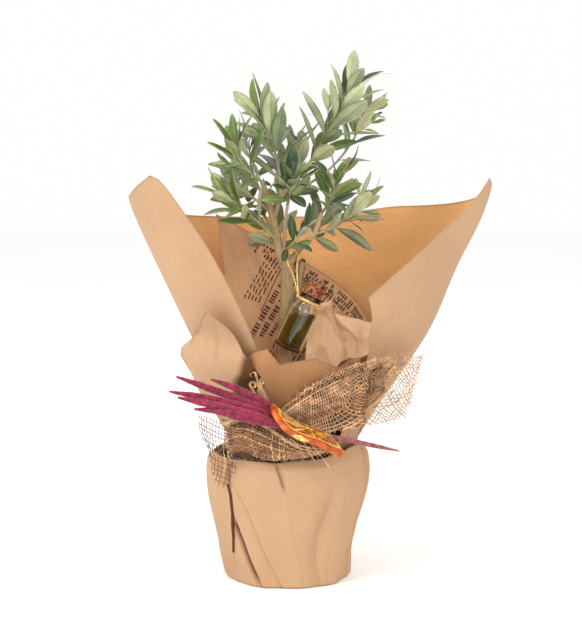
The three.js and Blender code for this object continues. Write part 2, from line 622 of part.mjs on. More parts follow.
const { made, all } = treeLimbs();
add("vial", vialSolid(), COLOURS.glass, { roughness: 0.05, transparent: true, opacity: 0.35 });
add("oil", oilSolid(), COLOURS.oil, { roughness: 0.1 });
add("cork", corkSolid(), COLOURS.cork);
add("raffia", raffiaSolid(all), COLOURS.raffia);
for (const [name, solid] of Object.entries(made)) {
  add(name, solid, name === "bough_front" ? COLOURS.greenBark : COLOURS.bark);
}
for (const [name, solid] of Object.entries(sprays(all))) add(name, solid, COLOURS.leaf, { roughness: 0.6 });

export default bonsai;
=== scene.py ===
import math

import bpy
import numpy as np
from mathutils import Matrix, Vector


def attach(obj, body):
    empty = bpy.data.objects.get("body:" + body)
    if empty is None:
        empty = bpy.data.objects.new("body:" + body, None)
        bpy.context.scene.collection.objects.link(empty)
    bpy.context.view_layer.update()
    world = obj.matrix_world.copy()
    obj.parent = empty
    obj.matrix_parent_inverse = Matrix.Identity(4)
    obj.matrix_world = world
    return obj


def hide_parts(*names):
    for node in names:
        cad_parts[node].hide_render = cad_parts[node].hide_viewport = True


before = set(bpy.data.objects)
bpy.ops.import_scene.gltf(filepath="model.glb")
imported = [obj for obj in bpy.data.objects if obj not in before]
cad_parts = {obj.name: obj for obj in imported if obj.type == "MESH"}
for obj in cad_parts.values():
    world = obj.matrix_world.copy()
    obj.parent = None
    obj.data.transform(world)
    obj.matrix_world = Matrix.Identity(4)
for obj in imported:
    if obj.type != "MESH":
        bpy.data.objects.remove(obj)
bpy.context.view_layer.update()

MM = 0.001


# The camera stands in front of the pot and looks a little down

CAMERA_PLACE = (0.002, -1.2, 0.32)  # metres
CAMERA_DOWN = 5.4  # degrees
CAMERA_LENS = 84.4  # millimetres, on a sensor 36 mm wide


def make_camera():
    data = bpy.data.cameras.new("camera")
    data.lens = CAMERA_LENS
    data.sensor_width = 36
    camera = bpy.data.objects.new("camera", data)
    camera.location = CAMERA_PLACE
    camera.rotation_euler = (math.radians(90 - CAMERA_DOWN), 0, 0)
    bpy.context.collection.objects.link(camera)
    bpy.context.scene.camera = camera


make_camera()


# Small helpers


def mix(a, b, t):
    return a + (b - a) * t


def clamp(x, lo=0.0, hi=1.0):
    return np.minimum(np.maximum(x, lo), hi)


def smooth(x, lo, hi):
    t = clamp((x - lo) / (hi - lo))
    return t * t * (3 - 2 * t)


def hump(x, centre, width):
    return np.exp(-(((x - centre) / width) ** 2))


def unit(v):
    return v / np.maximum(np.linalg.norm(v, axis=-1, keepdims=True), 1e-12)


def chance(a, b, c):
    """The same number from 0 to 1 for the same three whole numbers as in the part's source."""
    m = 0xFFFFFFFF
    h = ((a + 1) * 0x9E3779B1 & m) ^ ((b + 1) * 0x85EBCA77 & m) ^ ((c + 1) * 0xC2B2AE3D & m)
    h = (h ^ (h >> 15)) * 0x2C1B3C6D & m
    h = (h ^ (h >> 12)) * 0x297A2D39 & m
    return (h ^ (h >> 15)) / 4294967296


def lattice(x, y, seed, weights, scale):
    """A call for the random numbers from -1 to 1 at the corners of the square that (x, y) is in, and its
    place in that square."""
    xi, yi = np.floor(x), np.floor(y)

    def corner(i, j):
        s = np.sin((xi + i) * weights[0] + (yi + j) * weights[1] + seed * weights[2]) * scale
        return (s - np.floor(s)) * 2 - 1

    return corner, x - xi, y - yi


def rough(x, y, seed=0):
    """Smooth noise from -1 to 1 with features one unit across."""
    corner, fx, fy = lattice(x, y, seed, (127.1, 311.7, 74.7), 43758.5453)
    fx, fy = fx * fx * (3 - 2 * fx), fy * fy * (3 - 2 * fy)
    low = mix(corner(0, 0), corner(1, 0), fx)
    return mix(low, mix(corner(0, 1), corner(1, 1), fx), fy)


def facets(x, y, seed=0):
    """Noise from -1 to 1 made of flat triangles that meet at sharp creases, one unit across."""
    corner, fx, fy = lattice(x, y, seed, (157.3, 271.9, 91.7), 24634.6345)
    near = corner(0, 0) * (1 - fx - fy) + corner(1, 0) * fx + corner(0, 1) * fy
    far = corner(1, 1) * (fx + fy - 1) + corner(0, 1) * (1 - fx) + corner(1, 0) * (1 - fy)
    return np.where(fx + fy < 1, near, far)


def outline(turn, points):
    """The height, at each turn, of a line given by (turn, height) points."""
    return np.interp(turn, *zip(*points))


def along_line(z, points):
    """The turn, at each height, of a line given by (turn, height) points."""
    turns, heights = zip(*sorted(points, key=lambda p: p[1]))
    return np.interp(z, heights, turns)


def crease(away, height, left, right):
    """A fold: height on the line, falling off over left before it and over right after it."""
    return height * np.exp(-np.abs(away) / np.where(away < 0, left, right))


def tent(away, height, before, after):
    """A straight-sided fold: height on the line, down to nothing over before and after it."""
    return height * clamp(1 - np.abs(away) / np.where(away < 0, before, after))


def at_turn(turn, radius, z, axis=0.0):
    """Points by their turn from straight behind and their distance from the upright line at x = axis."""
    a = np.radians(turn)
    return np.stack(np.broadcast_arrays(axis + radius * np.sin(a), radius * np.cos(a), z), -1)


def outward(points, axis=0.0):
    """The level directions in which the points lie from the upright line at x = axis."""
    return unit((points - [axis, 0, 0]) * [1, 1, 0])


def moved_out(points, by, axis=0.0):
    """The points moved level by so many millimetres away from the upright line at x = axis."""
    return points + outward(points, axis) * by[..., None]


def around(count):
    """Angles in even steps round a circle."""
    return np.arange(count) / count * 2 * np.pi


def length_along(line):
    return np.concatenate([[0], np.cumsum(np.linalg.norm(np.diff(line, axis=0), axis=1))])


def normals_at(surface, u, v, step=1e-3):
    du = surface(u + step, v) - surface(u - step, v)
    dv = surface(u, v + step) - surface(u, v - step)
    return unit(np.cross(du, dv))


class Heap:
    """Gathers the points and faces of many shapes, in millimetres, for one mesh."""

    def __init__(self):
        self.points = []
        self.faces = []
        self.kinds = []
        self.painted_shades = []
        self.count = 0

    # each point carries a painted shade, from 0 for none to 1 for the darkest
    def add(self, points, faces, kind=0, painted_shade=0.0):
        points = np.asarray(points, float).reshape(-1, 3)
        self.points.append(points)
        self.painted_shades.append(np.broadcast_to(np.asarray(painted_shade, float).ravel(), len(points)))
        self.close(np.asarray(faces) + self.count, kind)
        self.count += len(points)

    def close(self, faces, kind):
        """Faces between points that are in the heap already."""
        self.faces.append(np.asarray(faces))
        self.kinds.append(np.full(len(faces), kind) if np.isscalar(kind) else np.asarray(kind))

    def sheet(self, upper, under, kinds, painted_shades=(0.0, 0.0)):
        """A thin closed sheet, from its two sides' grids of points. kinds are the sides' and the edge's, and
        the last argument is the shade painted on each side.
        """
        rows, columns = upper.shape[:2]
        faces = grid_faces(rows, columns)
        low = rows * columns
        index = self.count + np.arange(low).reshape(rows, columns)
        self.add(upper, faces, kinds[0], painted_shades[0])
        self.add(under, faces[:, ::-1], kinds[1], painted_shades[1])
        edge = np.concatenate([index[:-1, 0], index[-1, :-1], index[:0:-1, -1], index[0, :0:-1]])
        after = np.roll(edge, -1)
        self.close(np.stack([edge, edge + low, after + low, after], -1), kinds[2])

    def piece(self, name, materials, slot, *nodes, flat=False):
        mesh = bpy.data.meshes.new(name)
        faces = [face for block in self.faces for face in block.tolist()]
        mesh.from_pydata((np.concatenate(self.points) * MM).tolist(), [], faces)
        for material in materials:
            mesh.materials.append(material)
        mesh.polygons.foreach_set("material_index", np.concatenate(self.kinds).astype(np.int32))
        mesh.polygons.foreach_set("use_smooth", [not flat] * len(mesh.polygons))
        # the painted shade goes on the mesh, where the kraft material reads it
        painted_shades = np.concatenate(self.painted_shades)
        if painted_shades.any():
            painted_shade = mesh.attributes.new("painted_shade", "FLOAT", "POINT")
            painted_shade.data.foreach_set("value", painted_shades.astype(np.float32))
        mesh.update()
        made = bpy.data.objects.new(name, mesh)
        bpy.context.collection.objects.link(made)
        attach(made, "root")
        if nodes:
            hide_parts(*nodes)


def grid_faces(rows, columns, loop=False):
    """Quads of a grid of points stored row by row. loop joins the last column to the first."""
    i, j = np.meshgrid(np.arange(rows - 1), np.arange(columns if loop else columns - 1), indexing="ij")
    k = (j + 1) % columns
    low, high = i * columns, (i + 1) * columns
    return np.stack([low + j, low + k, high + k, high + j], -1).reshape(-1, 4)


def sweep(heap, path, radii, sides, facing=None, kind=0, flat=1.0):
    """A tube along path, closed by its ends. flat below 1 makes it a ribbon, thin along facing."""
    path = np.asarray(path, float)
    tangent = unit(np.gradient(path, axis=0))
    if facing is None:
        facing = np.empty_like(path)
        side = np.cross(tangent[0], [0.31, 0.9, 0.3])
        for i, ahead in enumerate(tangent):
            side = side - ahead * side.dot(ahead)
            side /= np.linalg.norm(side)
            facing[i] = side
    across = unit(np.cross(tangent, facing))
    up = np.cross(across, tangent)
    a = around(sides)
    radii = np.asarray(radii, float)
    r = radii if radii.ndim == 2 else np.broadcast_to(radii, len(path))[:, None]
    sideways = across[:, None] * (r * np.cos(a))[..., None]
    upward = up[:, None] * (r * np.sin(a) * flat)[..., None]
    first = heap.count + np.arange(sides)
    heap.add(path[:, None] + sideways + upward, grid_faces(len(path), sides, True), kind)
    heap.close([first[::-1], first + (len(path) - 1) * sides], kind)


def curve(points):
    """Close points on the smooth curve that the part's source draws through points."""
    p = np.asarray(points, float)
    p = np.vstack([2 * p[0] - p[1], p, 2 * p[-1] - p[-2]])
    t = np.linspace(0, 1, 40, endpoint=False)[:, None]
    out = []
    for before, a, b, after in zip(p, p[1:], p[2:], p[3:]):
        d = [max(np.linalg.norm(step) ** 0.5, 1e-4) for step in (a - before, b - a, after - b)]
        m1 = ((a - before) / d[0] - (b - before) / (d[0] + d[1]) + (b - a) / d[1]) * d[1]
        m2 = ((b - a) / d[1] - (after - a) / (d[1] + d[2]) + (after - b) / d[2]) * d[1]
        out.append(a + m1 * t + (3 * (b - a) - 2 * m1 - m2) * t**2 + (2 * (a - b) + m1 + m2) * t**3)
    return np.vstack([*out, p[-2]])


def evenly(dense, count):
    """So many points in even steps along a line of close points."""
    gone = length_along(dense)
    at = np.linspace(0, gone[-1], count)
    return np.stack([np.interp(at, gone, dense[:, k]) for k in range(3)], -1)


def through(points, count):
    return evenly(curve(points), count)


# Materials

WHITE = (255, 255, 255)


class Shader:
    """A material with one shader, and short calls for the nodes that feed it."""

    def __init__(self, name, colour, roughness, **sockets):
        self.material = bpy.data.materials.new(name)
        self.material.use_nodes = True
        self.nodes = self.material.node_tree.nodes
        self.links = self.material.node_tree.links
        self.shader = self.nodes["Principled BSDF"]
        self.shader.inputs["Base Color"].default_value = linear(colour)
        self.shader.inputs["Roughness"].default_value = roughness
        for socket, value in sockets.items():
            self.shader.inputs[socket.replace("_", " ")].default_value = value
        self.places = self.nodes.new("ShaderNodeTexCoord").outputs["Object"]

    def noise(self, scale, detail, stretch=None):
        node = self.nodes.new("ShaderNodeTexNoise")
        node.inputs["Scale"].default_value = scale
        node.inputs["Detail"].default_value = detail
        places = self.places
        if stretch:
            mapping = self.nodes.new("ShaderNodeMapping")
            mapping.inputs["Scale"].default_value = stretch
            self.links.new(places, mapping.inputs["Vector"])
            places = mapping.outputs["Vector"]
        self.links.new(places, node.inputs["Vector"])
        return node.outputs["Fac"]

    def cells(self, scale):
        node = self.nodes.new("ShaderNodeTexVoronoi")
        node.inputs["Scale"].default_value = scale
        self.links.new(self.places, node.inputs["Vector"])
        return node.outputs["Distance"]

    def ramp(self, value, *stops):
        node = self.nodes.new("ShaderNodeValToRGB")
        marks = node.color_ramp.elements
        for i, (at, colour) in enumerate(stops):
            mark = marks[i] if i < 2 else marks.new(at)
            mark.position = at
            mark.color = linear(colour)
        self.links.new(value, node.inputs["Fac"])
        return node.outputs["Color"]

    def blend(self, value, a, b, way="MIX"):
        node = self.nodes.new("ShaderNodeMix")
        node.data_type = "RGBA"
        node.blend_type = way
        for given, socket in zip((value, a, b), (node.inputs[0], node.inputs[6], node.inputs[7])):
            if isinstance(given, bpy.types.NodeSocket):
                self.links.new(given, socket)
            else:
                socket.default_value = given
        return node.outputs[2]

    def colour(self, value):
        self.links.new(value, self.shader.inputs["Base Color"])

    def relief(self, *layers):
        """Bumps, each (value, strength, distance in metres)."""
        before = None
        for value, strength, distance in layers:
            node = self.nodes.new("ShaderNodeBump")
            node.inputs["Strength"].default_value = strength
            node.inputs["Distance"].default_value = distance
            self.links.new(value, node.inputs["Height"])
            if before:
                self.links.new(before, node.inputs["Normal"])
            before = node.outputs["Normal"]
        if before:
            self.links.new(before, self.shader.inputs["Normal"])


def linear(colour):
    """A colour given as three numbers from 0 to 255, as the shader wants it."""
    return tuple(c / 255 / 12.92 if c < 10.3 else ((c / 255 + 0.055) / 1.055) ** 2.4 for c in colour) + (1.0,)


def tinted(colour, share):
    return tuple(max(0, min(255, c * share)) for c in colour)


def mottled(name, colour, roughness, patches, *layers, **sockets):
    """A material with patches of colour: a noise's scale and detail, and the stops of its ramp. Each layer
    of relief is a texture's scale and detail, 0 for cells, its strength and its height in metres."""
    s = Shader(name, colour, roughness, **sockets)
    scale, detail, *stops = patches
    s.colour(s.ramp(s.noise(scale, detail), *stops))
    s.relief(*[(s.noise(size, fine) if fine else s.cells(size), *bump) for size, fine, *bump in layers])
    return s.material


def kraft(name, colour, mottle, fibre):
    """Brown paper: soft mottling, fine fibres and a faint grain, with a painted shade that darkens it in its
    folds and hollows.
    """
    s = Shader(name, colour, 0.7, Specular_IOR_Level=0.3)
    dim, pale = tinted(colour, 1 - mottle), tinted(colour, 1 + mottle * 0.6)
    clouds = s.ramp(s.noise(15, 3), (0.32, dim), (0.7, pale))
    fibres = s.ramp(s.noise(800, 4, (1, 1, 0.22)), (0.36, tinted(WHITE, 1 - fibre)), (0.56, WHITE))
    paper = s.blend(1.0, clouds, fibres, "MULTIPLY")
    # painted shade: each point's painted shade mixes the paper towards a darker brown
    painted_shade = s.nodes.new("ShaderNodeAttribute")
    painted_shade.attribute_name = "painted_shade"
    deep = linear((colour[0] * 0.5, colour[1] * 0.38, colour[2] * 0.26))
    s.colour(s.blend(painted_shade.outputs["Fac"], paper, deep))
    s.relief((s.noise(34, 2), 0.12, 0.0009), (s.noise(1400, 3), 0.1, 0.0001))
    return s.material


def thread_material(name, colour, dark):
    """Coarse jute: uneven tint along the threads and a hairy twist."""
    patches = (150, 5, (0.3, tinted(colour, dark)), (0.52, colour), (0.74, tinted(colour, 1.24)))
    twist = (2600, 2, 0.5, 0.0002)
    return mottled(name, colour, 0.95, patches, twist, Sheen_Weight=0.25, Specular_IOR_Level=0.15)


def velvet(name, colour):
    """The dyed seed heads: tiny packed grains with paler tips."""
    s = Shader(name, colour, 0.9, Sheen_Weight=0.25, Sheen_Roughness=0.5, Specular_IOR_Level=0.15)
    grains = s.cells(900)
    packed = s.ramp(grains, (0.0, tinted(colour, 1.16)), (0.5, colour), (0.95, tinted(colour, 0.6)))
    patches = s.ramp(s.noise(210, 3), (0.34, (206, 184, 184)), (0.56, WHITE))
    s.colour(s.blend(1.0, packed, patches, "MULTIPLY"))
    s.relief((grains, 0.8, -0.0006), (s.noise(2400, 2), 0.4, 0.0002))
    return s.material


def leaf_material(name, colour, gloss, vein):
    """A leathery skin, a little mottled, with fine veins."""
    patches = (70, 4, (0.3, tinted(colour, 0.86)), (0.5, colour), (0.72, tinted(colour, 1.1)))
    return mottled(name, colour, gloss, patches, (420, 4, vein, 0.0005), Specular_IOR_Level=0.35)


def bark_material(name, light, dark, green):
    """Long streaks of light and dark, moss in patches, and deep fine cracks."""
    s = Shader(name, light, 0.88, Specular_IOR_Level=0.2)
    patches = s.ramp(s.noise(46, 5, (1, 1, 0.4)), (0.34, dark), (0.5, light), (0.66, tinted(light, 1.12)))
    moss = s.ramp(s.noise(18, 3), (0.45, (0, 0, 0)), (0.68, WHITE))
    specks = s.ramp(s.noise(640, 3, (1, 1, 0.3)), (0.3, (206, 199, 189)), (0.46, WHITE))
    s.colour(s.blend(1.0, s.blend(moss, patches, linear(green)), specks, "MULTIPLY"))
    s.relief((s.noise(240, 6, (1, 1, 0.18)), 0.9, 0.0011), (s.noise(1500, 3), 0.4, 0.0003))
    return s.material


def glass_material():
    s = Shader("vial glass", (246, 250, 246), 0.03, Transmission_Weight=1.0, IOR=1.46)
    s.relief((s.noise(60, 2), 0.02, 0.0002))
    return s.material


KRAFT_OUT = kraft("kraft outside", (183, 146, 111), 0.04, 0.03)
KRAFT_IN = kraft("kraft inside", (220, 164, 104), 0.05, 0.05)
# the crumpled sheet's inner side: a paler copy of the kraft, a painted light that stands in for the light it
# lacks deep in the collar
KRAFT_CRUMPLED_LIT = kraft("kraft crumpled, painted light", (246, 210, 170), 0.03, 0.03)
# a darker copy of the kraft for the front lobe: painted shade
KRAFT_SHADE = kraft("kraft with painted shade", (176, 128, 87), 0.04, 0.05)
# a dark kraft for the floor of the slit in the wrap: painted shade
KRAFT_SLIT_SHADE = kraft("kraft painted shade in the slit", (88, 52, 28), 0.05, 0.05)
KRAFT_EDGE = kraft("kraft edge", (186, 146, 108), 0.05, 0.06)
PRINT_PAPER = kraft("printed sheet", (206, 162, 122), 0.05, 0.05)
INK = mottled("faded ink", (64, 46, 38), 0.8, (700, 4, (0.36, (50, 34, 28)), (0.7, (96, 70, 56))))
PLASTIC = mottled(
    "pot plastic", (62, 48, 40), 0.5, (38, 3, (0.35, (56, 42, 34)), (0.65, (72, 57, 48))),
    (2200, 2, 0.15, 0.0001),
)
SOIL = mottled(
    "soil", (60, 44, 32), 0.97, (330, 6, (0.3, (28, 20, 15)), (0.55, (70, 50, 36)), (0.75, (120, 96, 72))),
    (260, 0, 1.0, 0.003), (900, 4, 0.6, 0.0008),
)
JUTE = thread_material("burlap thread", (188, 145, 106), 0.7)
JUTE_MID = thread_material("burlap thread shaded", (156, 114, 79), 0.7)
JUTE_PALE = thread_material("burlap thread pale", (208, 170, 130), 0.76)
JUTE_DARK = thread_material("burlap thread dark", (108, 70, 42), 0.66)
SPIKE = velvet("dyed spike", (152, 48, 78))
SPIKE_FADED = velvet("faded spike", (166, 98, 100))
STRAW = thread_material("dried straw", (190, 146, 104), 0.66)
RAFFIA = thread_material("raffia", (222, 184, 116), 0.8)
GLASS = glass_material()
OIL = mottled(
    "olive oil", (120, 110, 8), 0.06,
    (45, 2, (0.3, (62, 46, 0)), (0.52, (88, 72, 0)), (0.74, (124, 110, 2))), IOR=1.4, Specular_IOR_Level=0.05,
)
CORK = mottled(
    "cork", (134, 80, 52), 0.85,
    (420, 6, (0.34, (66, 32, 18)), (0.47, (128, 72, 44)), (0.62, (170, 108, 74))),
    (520, 0, 0.8, 0.0006), (1300, 4, 0.5, 0.0003),
)
PEEL = mottled(
    "orange peel", (222, 100, 24), 0.5,
    (120, 4, (0.3, (150, 54, 4)), (0.5, (192, 88, 6)), (0.72, (226, 136, 26))),
    (700, 0, 0.6, -0.0006), (160, 3, 0.5, 0.001),
)
FLESH = mottled(
    "dried flesh", (190, 130, 30), 0.42,
    (230, 5, (0.3, (92, 44, 2)), (0.48, (150, 84, 6)), (0.7, (204, 136, 30))),
    (420, 0, 0.8, 0.0009), (900, 3, 0.4, 0.0003),
)
PITH = mottled(
    "dried pith", (238, 196, 120), 0.8, (300, 4, (0.34, (206, 138, 50)), (0.6, (232, 196, 124))),
    (700, 4, 0.5, 0.0004),
)
BARK = bark_material("olive bark", (178, 150, 116), (136, 112, 84), (150, 142, 100))
YOUNG_BARK = bark_material("young bark", (184, 162, 138), (142, 118, 98), (150, 146, 112))
CUT_WOOD = bark_material("old cut", (84, 70, 62), (44, 36, 32), (70, 62, 50))
TWIG = leaf_material("green twig", (158, 158, 122), 0.7, 0.5)


# The paper round the pot

EDGE = 0.15  # half the width of a sharp fold, in degrees
RIM = 101  # the height of the paper's rim
SHOULDER = 86  # where it starts to draw in towards the rim
WRAP_PROFILE = [(51.2, 0), (56.5, 31), (62.35, 62), (65.5, SHOULDER), (64.9, 95), (61, RIM)]
# between these turns, in degrees from straight behind, the folds are drawn line by line
FRONT_RIGHT = 112
FRONT_LEFT = 262
# the lines of the folds in front, each as points of (turn, height)
SLIT_LEFT = [(227.3, 86), (224.5, 73), (223.2, 60), (224.9, 38), (228.6, 21)]
SLIT_RIGHT = [(227, 86), (223.2, 73), (221.7, 55), (223.4, 40), (228.2, 21)]
STRONG_FOLD = [(223.7, 88), (222.4, 59), (216.5, 48), (210.1, 28), (203.9, 11), (201, 0)]
SOFT_FOLD = [(223.7, 87), (217, 76), (210.4, 65), (204.8, 52), (199, 35), (191.5, 17), (184, 0)]
WEDGE_LEFT = [
    (190, RIM), (188.6, 97), (184.6, 84), (181.2, 77), (178, 56), (174.5, 37), (168.6, 21), (168.6, 1)
]
LONG_CREASE = [(182.8, RIM), (182.8, 97), (180.7, 77), (177.4, 56), (173.9, 37), (168, 21), (168, 1)]
RIGHT_VALLEY = [(143, 88), (147.8, 65), (154.2, 41), (153.9, 22), (150, 5)]
RIGHT_RIDGE = [(137.5, 86), (137.5, 70), (137, 48), (133.5, 29), (133.4, 9)]
FRONT_LINES = [
    RIGHT_RIDGE, RIGHT_VALLEY, LONG_CREASE, WEDGE_LEFT, SOFT_FOLD, STRONG_FOLD, SLIT_RIGHT, SLIT_LEFT
]
# how many columns of points stand between each line and the next
FRONT_COLUMNS = (20, 18, 26, 6, 38, 24, 14, 4, 30)
BACK_SEAM = [(20, RIM), (26, 60), (18, 0)]
BASE_CORNERS = [-90, -30, 30, 90, 147, 205, 270]


def apart(turn, other):
    """The shortest way round from other to turn."""
    return (turn - other + 540) % 360 - 180


def past(away):
    """From 0 to 1 across a sharp fold."""
    return smooth(away, -EDGE, EDGE)


def fold_lines(z):
    """The front folds' turns at the heights z, from right to left, kept apart from each other."""
    turns = [along_line(z, line) for line in FRONT_LINES]
    for k in range(len(turns) - 2, -1, -1):
        turns[k] = np.minimum(turns[k], turns[k + 1] - 0.5)
    return turns


def front_folds(turn, z):
    """The pleats in front: how far they stand out, and the shade painted in their hollows."""
    ridge, valley, crease_line, wedge_left, soft_line, strong_line, slit_right, slit_left = fold_lines(z)
    left = turn - slit_left
    out = 1.6 * np.exp(-np.abs(left) / 20) * past(left) * smooth(z, 98, 80) * smooth(z, 2, 26)
    strong = turn - strong_line
    gap = np.maximum(slit_right - strong_line, 0.5)
    dip = clamp(gap / 7) * clamp(1 - strong / np.minimum(gap, 10)) * past(strong) * smooth(z, -6, 12)
    out += -3.8 * dip + clamp(gap / 7) * tent(strong, 1.4, 8, 0.4)
    soft = turn - soft_line
    drop = clamp(1 - soft / 5) * past(soft) * smooth(z, 90, 76)
    out += -1.2 * drop + smooth(z, 90, 76) * tent(soft, 0.4, 8, 2)
    long = turn - crease_line
    wedge = clamp(long / np.maximum(wedge_left - crease_line, 0.6)) * past(wedge_left - turn)
    wedge = wedge * smooth(z, 77, 86)
    out += -3.2 * wedge + tent(long, 0.8, 4, 1) * smooth(z, 74, 82)
    out += tent(long, 1.8, 12, 18) * smooth(z, 84, 72)
    out += tent(turn - valley, -2.1, 12, 11) * smooth(z, 92, 64)
    out += tent(turn - ridge, 1.3, 14, 8) * smooth(z, 92, 70)
    # painted shade: darkest beside the strong fold, and a little in the soft fold, the wedge, the right
    # valley and along the long crease
    dark = clamp(1.9 - 1.1 * strong / np.minimum(gap, 4.8)) * past(strong) * clamp(gap / 5)
    painted_shade = 0.95 * dark * smooth(z, -4, 14) + 0.1 * drop + 0.4 * wedge**2
    painted_shade += 0.16 * tent(turn - valley, 1, 3, 9) * smooth(z, 88, 50)
    painted_shade += 0.12 * tent(long, 1, 0.8, 0.8) * smooth(z, 84, 60)
    return out - 0.4, painted_shade


def back_folds(turn, z):
    """The gathers behind: how far they stand out, and the shade painted beside their ridges."""
    high = clamp(z / SHOULDER)
    out = np.zeros_like(turn)
    painted_shade = np.zeros_like(turn)
    for k in range(11):
        middle = 33 * k + 20 * chance(k, 1, 5) + 18 * (0.5 - high) * (chance(k, 2, 5) - 0.3)
        away = apart(turn, middle)
        height = (1.3 + 1.6 * chance(k, 3, 5)) * mix(0.55, 1, np.abs(2 * high - 1))
        out += crease(away, height, 9, 1)
        painted_shade += 0.1 * height * crease(away, 1, 0.2, 2.5)
    seam = along_line(z, BACK_SEAM)
    out += crease(turn - seam, 1.6, 10, 0.5) - 1.5
    painted_shade += crease(turn - seam, 0.3, 0.2, 1.5)
    beside = np.abs(np.sin(np.radians(turn))) ** 4
    out = out * mix(0.35, 1, smooth(z, 0, 30)) + beside * (2.2 * hump(z, 76, 26) - 1.4 * smooth(z, 40, 0))
    return out, painted_shade


def wrap_folds(turn, z):
    """The folds of the whole paper, and the shade painted in them."""
    front, front_shade = front_folds(turn, z)
    back, back_shade = back_folds(turn, z)
    share = smooth(turn, 112, 130) * smooth(turn, 268, 250)
    soft = 0.3 * rough(turn / 15, z / 24, 3) + 0.1 * rough(turn / 5, z / 9, 4)
    soft = soft + 0.35 * facets(turn / 17 + z / 60, z / 31, 5)
    return mix(back, front, share) + soft, clamp(mix(back_shade, front_shade, share))


def wrap_turns(z):
    """The turns of the grid's points at the heights z: even behind, and set to the folds in front."""
    lines = [np.full_like(z, FRONT_RIGHT), *fold_lines(z), np.full_like(z, FRONT_LEFT)]
    columns = [np.broadcast_to(np.arange(FRONT_LEFT - 360, FRONT_RIGHT - 0.4, 0.9), (len(z), 233))]
    for right, left, count in zip(lines, lines[1:], FRONT_COLUMNS):
        columns.append(mix((right + EDGE)[:, None], (left - EDGE)[:, None], np.linspace(0, 1, count)))
    return np.hstack(columns)


def wrap_piece():
    levels = np.concatenate([np.linspace(0.6, 84, 84), np.linspace(85.2, RIM, 16)])
    turn = wrap_turns(levels)
    z = np.broadcast_to(levels[:, None], turn.shape)
    nearest = np.min([np.abs(apart(turn, c)) for c in BASE_CORNERS], axis=0)
    corner = 3.2 * (1 - np.cos(np.radians(30 - np.minimum(nearest, 30)))) / 0.134 - 1.4
    sag = 2.4 * clamp((SHOULDER - z) / 40) * clamp(0.3 + z / 30)
    rise = 8 * hump((turn + 360) % 360, 112, 46) * clamp((z - 78) / 20)
    rim = 0.9 * rough(turn / 9, z * 0, 8) * smooth(z, 90, RIM)
    fold, painted_shade = wrap_folds((turn + 360) % 360, z)
    fold = fold * smooth(z, 101.5, 97)
    radius = along_line(z, WRAP_PROFILE) + fold + corner * smooth(z, 34, 2) - 0.15 * rise
    slit_right, slit_left = fold_lines(levels)[-2:]
    wide_enough = (slit_left - slit_right > 0.55)[:, None]
    slit = (turn > slit_right[:, None]) & (turn < slit_left[:, None]) & wide_enough
    radius = np.where(slit, 44.3 + 12 * z / SHOULDER, radius)
    z = z + rise + rim
    # over the rim and down inside it
    inside = np.array([(60.3, 101.6), (59.9, 101.2), (59.8, 98.4), (57.4, 97.4)])
    radius = np.vstack([radius, inside[:, :1] - 0.15 * rise[-1:]])
    z = np.vstack([z, inside[:, 1:] + rise[-1:] + rim[-1:]])
    # the underside, gathered towards the middle
    shares = np.array([0, 0.2, 0.45, 0.7, 0.9, 0.97])[:, None]
    gathers = 0.5 + 0.45 * np.abs(np.sin(np.radians(turn[0] * 5)))[None] * np.sin(np.pi * shares)
    under_z = np.where(shares > 0.96, 0.12, np.where(shares > 0.85, 0.0, gathers * (shares > 0.05)))
    radius = np.vstack([radius[0] * shares, radius])
    z = np.vstack([under_z, z])
    sag = np.vstack([sag[0] * shares, sag] + [sag[-1:]] * len(inside))
    turns = np.vstack([turn[:1]] * len(shares) + [turn] + [turn[-1:]] * len(inside))
    points = at_turn(turns, radius, z, -sag)
    # faces in the open slit get the dark kraft, a painted shade
    slit_shade_faces = np.zeros((len(radius) - 1, turn.shape[1]), int)
    open_row = slit[1:] & slit[:-1]
    slit_shade_faces[len(shares) : len(shares) + len(open_row)] = open_row | np.roll(open_row, -1, 1)
    # the painted shade: the folds' own, none underneath, and an even painted shade over the rim and down
    # inside it
    painted_shades = np.vstack([0 * turn[: len(shares)], painted_shade, 0 * turn[: len(inside)] + 0.35])
    heap = Heap()
    heap.add(points, grid_faces(*radius.shape, True)[:, ::-1], slit_shade_faces.ravel(), painted_shades)
    heap.piece("wrap_paper", [KRAFT_OUT, KRAFT_SLIT_SHADE], "kraft", "wrap")


# The papers round the tree

FOOT = 94.2  # the height at which the papers and the burlap start
# each sheet's cone: its distance from the axis at its foot, and how much that grows per millimetre of height
COLLAR_CONE = (38, 0.4985)
PRINT_CONE = (25, 0.4)
CRUMPLED_CONE = (24, 0.35)
LEFT_LOBE_CONE = (45.5, 0.608)
FRONT_LOBE_CONE = (46.7, 0.43)
BAND_CONE = (40.7, 0.4985)
FAN_CONE = (50.6, 0.47)
# the turns of each sheet's two side edges, at its top
COLLAR_SPAN = (-123.5, 111)
CRUMPLED_SPAN = (4, 148)
LEFT_LOBE_SPAN = (-90, -154)
FRONT_LOBE_SPAN = (158, 210)
BAND_SPAN = (-84, 78)
FAN_SPAN = (192, 113)


def widening(cone, z):
    """How far from the axis a cone is at the height z."""
    foot, growth = cone
    return foot + growth * (z - FOOT)


def on_cone(turn, radius, z):
    """Points by turn, distance and height from the papers' own axis, which leans to the right."""
    return at_turn(turn, radius, z, 8 + 0.055 * (z - 100))


def collar_bow(turn, z):
    """How far the collar's sides stand out of its cone."""
    right = 8 * hump(z, 200, 45) * hump(turn, 92, 32)
    right = right - 10 * smooth(turn, 30, 80) * clamp((z - 270) / 50) ** 2
    left = 2.8 * hump(z, 250, 60) - 5 * clamp((z - 290) / 30) ** 2
    return right + left * smooth(-turn, 30, 80)


COLLAR_CREASES = [-112, -101, -84, -63, -41, -22, 3, 21, 40, 58, 77, 96, 119, 133]
COLLAR_DENT = [(133, 222), (147, 196), (150, 176)]


